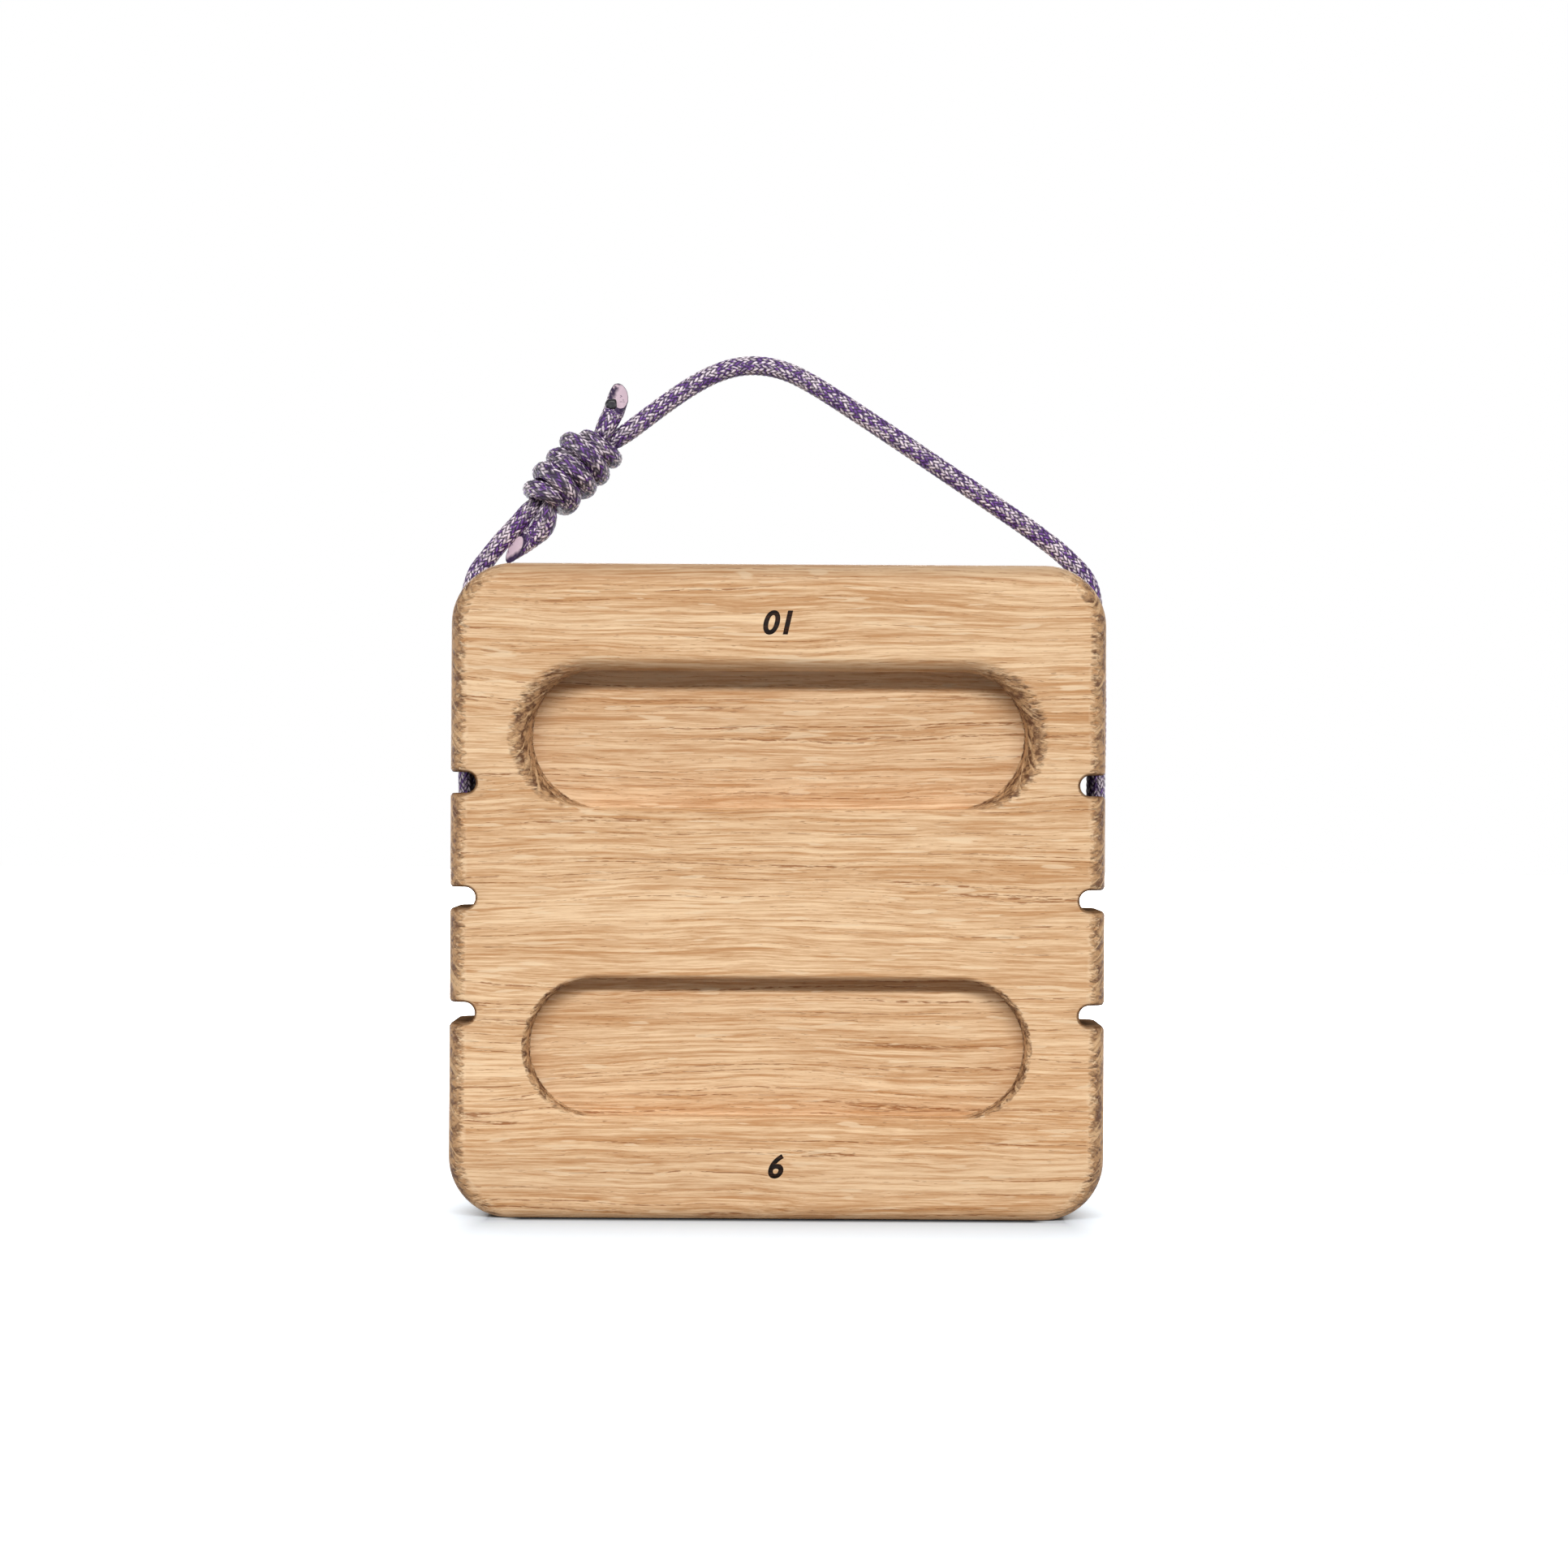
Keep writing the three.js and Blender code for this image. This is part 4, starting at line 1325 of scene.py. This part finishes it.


# %% Cord colours
# Each yarn colour runs from its painted shade at the dark end to its painted highlight at the light end. The
# groove, knot and slot colours are painted shade.
SILVER_DARK, SILVER_LIGHT = linear(56, 40, 56), linear(255, 240, 254)
VIOLET_DARK, VIOLET_LIGHT = linear(30, 10, 46), linear(126, 76, 170)
GROOVE_SHADE, MOTTLE = linear(22, 10, 30), linear(34, 14, 50)
KNOT_SHADE, SLOT_SHADE = linear(26, 16, 30), linear(10, 5, 14)
CORE_PALE, CORE_DOTS = linear(218, 194, 208), linear(60, 30, 70)
SINGED = linear(38, 14, 56)
SLOT_MIDDLE = (72.4, 99.8)


def yarn_colour(tree, braid):
    """Each yarn turns from silver to violet and back, with fine filaments, a tone that changes along it and a
    painted highlight on its crown. The grooves between the yarns get painted shade, some patches are dark,
    and in the knot more patches get painted shade."""
    first, second, along, lane, strand, height = braid
    spun = noise(joined(along * 0.42, lane, 0.0), 1.0, 0.4)
    filament = noise(joined(along * 0.8, strand, 5.0), 1.0, 0.5)
    patch = noise(joined(first * 0.33, second * 0.33, 0.0), 1.0, 0.4)
    # Painted highlight: the yarn's crown, where it stands highest, is lighter, and the noise adds tone along
    # the yarn.
    crown_highlight_and_tone = noise(joined(along * 0.9, strand, 11.0), 1.0) * 0.7 + height * 0.55
    silver = mixed(between(crown_highlight_and_tone, 0.38, 0.88), SILVER_DARK, SILVER_LIGHT)
    violet = mixed(between(crown_highlight_and_tone, 0.4, 1.05), VIOLET_DARK, VIOLET_LIGHT)
    violet_share = between(spun * 0.48 + filament * 0.2 + patch * 0.32, 0.485, 0.53)
    colour = mixed(violet_share, silver, violet)
    # Painted shade in the grooves between the yarns, where the yarn stands low.
    colour = mixed(between(height, 0.02, 0.4, 1.0, 0.0) * 0.8, colour, GROOVE_SHADE)
    mottle = noise(joined(first * 0.55, second * 0.55, 7.0), 1.0)
    colour = mixed(between(mottle, 0.34, 0.5, 0.5, 0.0), colour, MOTTLE)
    # Painted shade in the knot, on some of the mottled patches near its middle.
    from_knot = measured("DISTANCE", own_place(tree), tuple(KNOT_PLACE))
    knot_shade_share = between(from_knot, 0.009, 0.018, 1.0, 0.0)
    return mixed(knot_shade_share * between(mottle, 0.42, 0.56, 0.75, 0.0), colour, KNOT_SHADE)


def cut_colour(tree, colour, millimetres):
    """The cut ends show the pale core with darker strands in it, and are singed at the edge."""
    dots = between(noise(millimetres, 1.0), 0.66, 0.7)
    core = mixed(dots * 0.8, CORE_PALE, CORE_DOTS)
    colour = mixed(between(attribute(tree, "cut_face"), 0.5, 0.95), colour, core)
    patchy = between(noise(stretched(millimetres, 0.5, 0.5, 0.5), 2.0), 0.3, 0.46)
    return mixed(attribute(tree, "singed") * patchy, colour, SINGED)


def in_upper_slot(tree, millimetres):
    """How deep in the shade of an upper slot the cord lies: near the slot's middle, and on the side of the
    cord that faces the wood."""
    across, _, height = parts(millimetres)
    facing = own_normal(tree)
    to_slot = measured("LENGTH", joined(abs(across) - SLOT_MIDDLE[0], 0.0, height - SLOT_MIDDLE[1]))
    outward = facing[0] * across.math("SIGN")
    hidden = between(outward, -0.5, 0.15, 1.0, 0.35) * between(facing[1], -0.35, 0.1, 1.0, 0.0)
    return between(to_slot, 2.6, 5.4, 0.92, 0.0) * hidden


# %% Cord
def cord_material():
    """The braid's colour and its fine threads, from the tube's two lattice numbers."""
    material, tree, shader = new_material("braided_cord", 0.45)
    millimetres = stretched(own_place(tree), 1000.0, 1000.0, 1000.0)
    braid = braid_at(tree)
    _, _, along, _, strand, height = braid
    colour = cut_colour(tree, yarn_colour(tree, braid), millimetres)
    in_slot = in_upper_slot(tree, millimetres)
    plug(mixed(in_slot, colour, SLOT_SHADE), shader, "Base Color")
    plug((1.0 - in_slot) * 0.3, shader, "Specular IOR Level")
    thread = noise(joined(along * 1.2, strand * 3.2, 3.0), 1.0)
    raise_surface(shader, thread * 0.5 + height, 0.00014, 0.6)
    return material


put_on(cord_material(), left_cord, right_cord, block_cord)


def melted_material():
    """Melted cord: black with a violet tinge, and glossy."""
    material, tree, shader = new_material("melted_cord", 0.32, 0.3)
    cloud = noise(stretched(own_place(tree), 900.0, 900.0, 900.0), 2.0)
    plug(mixed(between(cloud, 0.4, 0.7), linear(6, 4, 8), linear(24, 16, 28)), shader, "Base Color")
    return material


put_on(melted_material(), melted_bead)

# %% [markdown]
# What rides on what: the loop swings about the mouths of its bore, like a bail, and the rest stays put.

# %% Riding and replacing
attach(oak_block, "block")
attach(number_ten, "block")
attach(number_six, "block")
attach(block_cord, "block")
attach(left_cord, "loop")
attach(melted_bead, "loop")
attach(right_cord, "loop")
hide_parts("oak_block")
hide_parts("cord_in_block")
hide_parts("cord_left_strand", "knot_left_half")
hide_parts("cord_right_strand", "knot_right_half")

# %% [markdown]
# The ground is pure white with a soft shadow under the board. The floor is pale and glows a little to the
# camera alone, more the farther it lies from the block, so it turns white out there and keeps the shadow near
# the block, with a painted dark line of contact under it.

# %% Floor
FLOOR_HALF = 4.0
FLOOR_PALE = (0.67, 0.765, 0.865)
NEAR_BOUNCE = 0.62
FAR_BOUNCE = 0.14


def seen_directly(tree):
    """1 for rays from the camera, a reflection or a transmission, and 0 for light."""
    path = node(tree, "ShaderNodeLightPath").outputs
    camera_ray, glossy = Wire(tree, path["Is Camera Ray"]), Wire(tree, path["Is Glossy Ray"])
    through = Wire(tree, path["Is Transmission Ray"])
    return camera_ray.math("MAXIMUM", glossy).math("MAXIMUM", through)


def beyond(place, half_width, half_depth, squeeze):
    """How far a floor point lies outside a rectangle under the block, its sideways part times squeeze."""
    across, forward, _ = parts(place)
    sideways = (abs(across) - half_width).math("MAXIMUM", 0.0) * squeeze
    return measured("LENGTH", joined(sideways, (abs(forward) - half_depth).math("MAXIMUM", 0.0), 0.0))


def floor_material():
    """White to the camera away from the block, where a glow that grows with the distance paints it white,
    with a painted dark line of contact under the block and the soft shadow near it. As a source of bounced
    light it is brighter near the block than farther off."""
    material, tree, shader = new_material("floor_white", 0.9, 0.0)
    shader.inputs["Emission Color"].default_value = (1, 1, 1, 1)
    place, seen = own_place(tree), seen_directly(tree)
    bounce = between(measured("LENGTH", place), 0.1, 0.25, NEAR_BOUNCE, FAR_BOUNCE)
    # Painted shadow: to the camera the floor's colour falls to a tenth under the block and within 5 mm of it.
    contact = between(beyond(place, 0.058, 0.0165, 1.0), 0.0, 0.005, 0.1, 1.0)
    pale = wire(tree, "ShaderNodeVectorMath", {0: FLOOR_PALE, "Scale": contact}, operation="SCALE")
    plug(mixed(seen, joined(bounce, bounce, bounce), pale), shader, "Base Color")
    # The glow is nothing near the block and grows with the distance from it, so it sets how far the shadow
    # reaches.
    faded = beyond(place, 0.066, 0.02, 5.5).math("DIVIDE", 0.06).math("SQRT")
    plug(seen * (faded * 0.57), shader, "Emission Strength")
    return material


corners = np.array([[-1, -1, 0], [1, -1, 0], [1, 1, 0], [-1, 1, 0]]) * FLOOR_HALF
floor = new_piece("floor", corners, [[0, 1, 2, 3]])
put_on(floor_material(), floor)

# %% [markdown]
# The sky is white to the camera and a weak warm light to everything else. A wide soft lamp in front and above
# makes the shade under the lips, which painted shade in the oak deepens; one behind lights the loop, and a
# small one fills in from above.

# %% Light
SKY_LIGHT = 0.23
SKY_COLOUR = (1, 0.9, 0.8, 1)
BOARD_MIDDLE = (0, 0, 0.09)

world = bpy.data.worlds.new("studio")
bpy.context.scene.world = world
world.use_nodes = True
sky = world.node_tree
backdrop = wire(sky, "ShaderNodeBackground", {0: (1, 1, 1, 1), 1: 1.0})
light = wire(sky, "ShaderNodeBackground", {0: SKY_COLOUR, 1: SKY_LIGHT})
both = wire(sky, "ShaderNodeMixShader", {0: seen_directly(sky), 1: light, 2: backdrop})
sky.links.new(both.socket, sky.nodes["World Output"].inputs[0])


def soft_lamp(name, place, width, height, power):
    """A soft lamp of that width and height that points at the middle of the board."""
    data = bpy.data.lights.new(name, "AREA")
    data.shape = "RECTANGLE"
    data.size = width
    data.size_y = height
    data.energy = power
    lamp = bpy.data.objects.new(name, data)
    lamp.location = place
    lamp.rotation_mode = "QUATERNION"
    lamp.rotation_quaternion = (Vector(BOARD_MIDDLE) - Vector(place)).to_track_quat("-Z", "Y")
    bpy.context.scene.collection.objects.link(lamp)
    print(name, power, "W")


soft_lamp("key_lamp", (0, -2.2, 1.35), 3.2, 0.3, 67.0)
soft_lamp("back_lamp", (0, 2.2, 0.9), 2.4, 0.4, 30.0)
soft_lamp("top_lamp", (0, 0.5, 1.1), 0.9, 0.9, 1.5)
bpy.context.scene.view_settings.view_transform = "Standard"
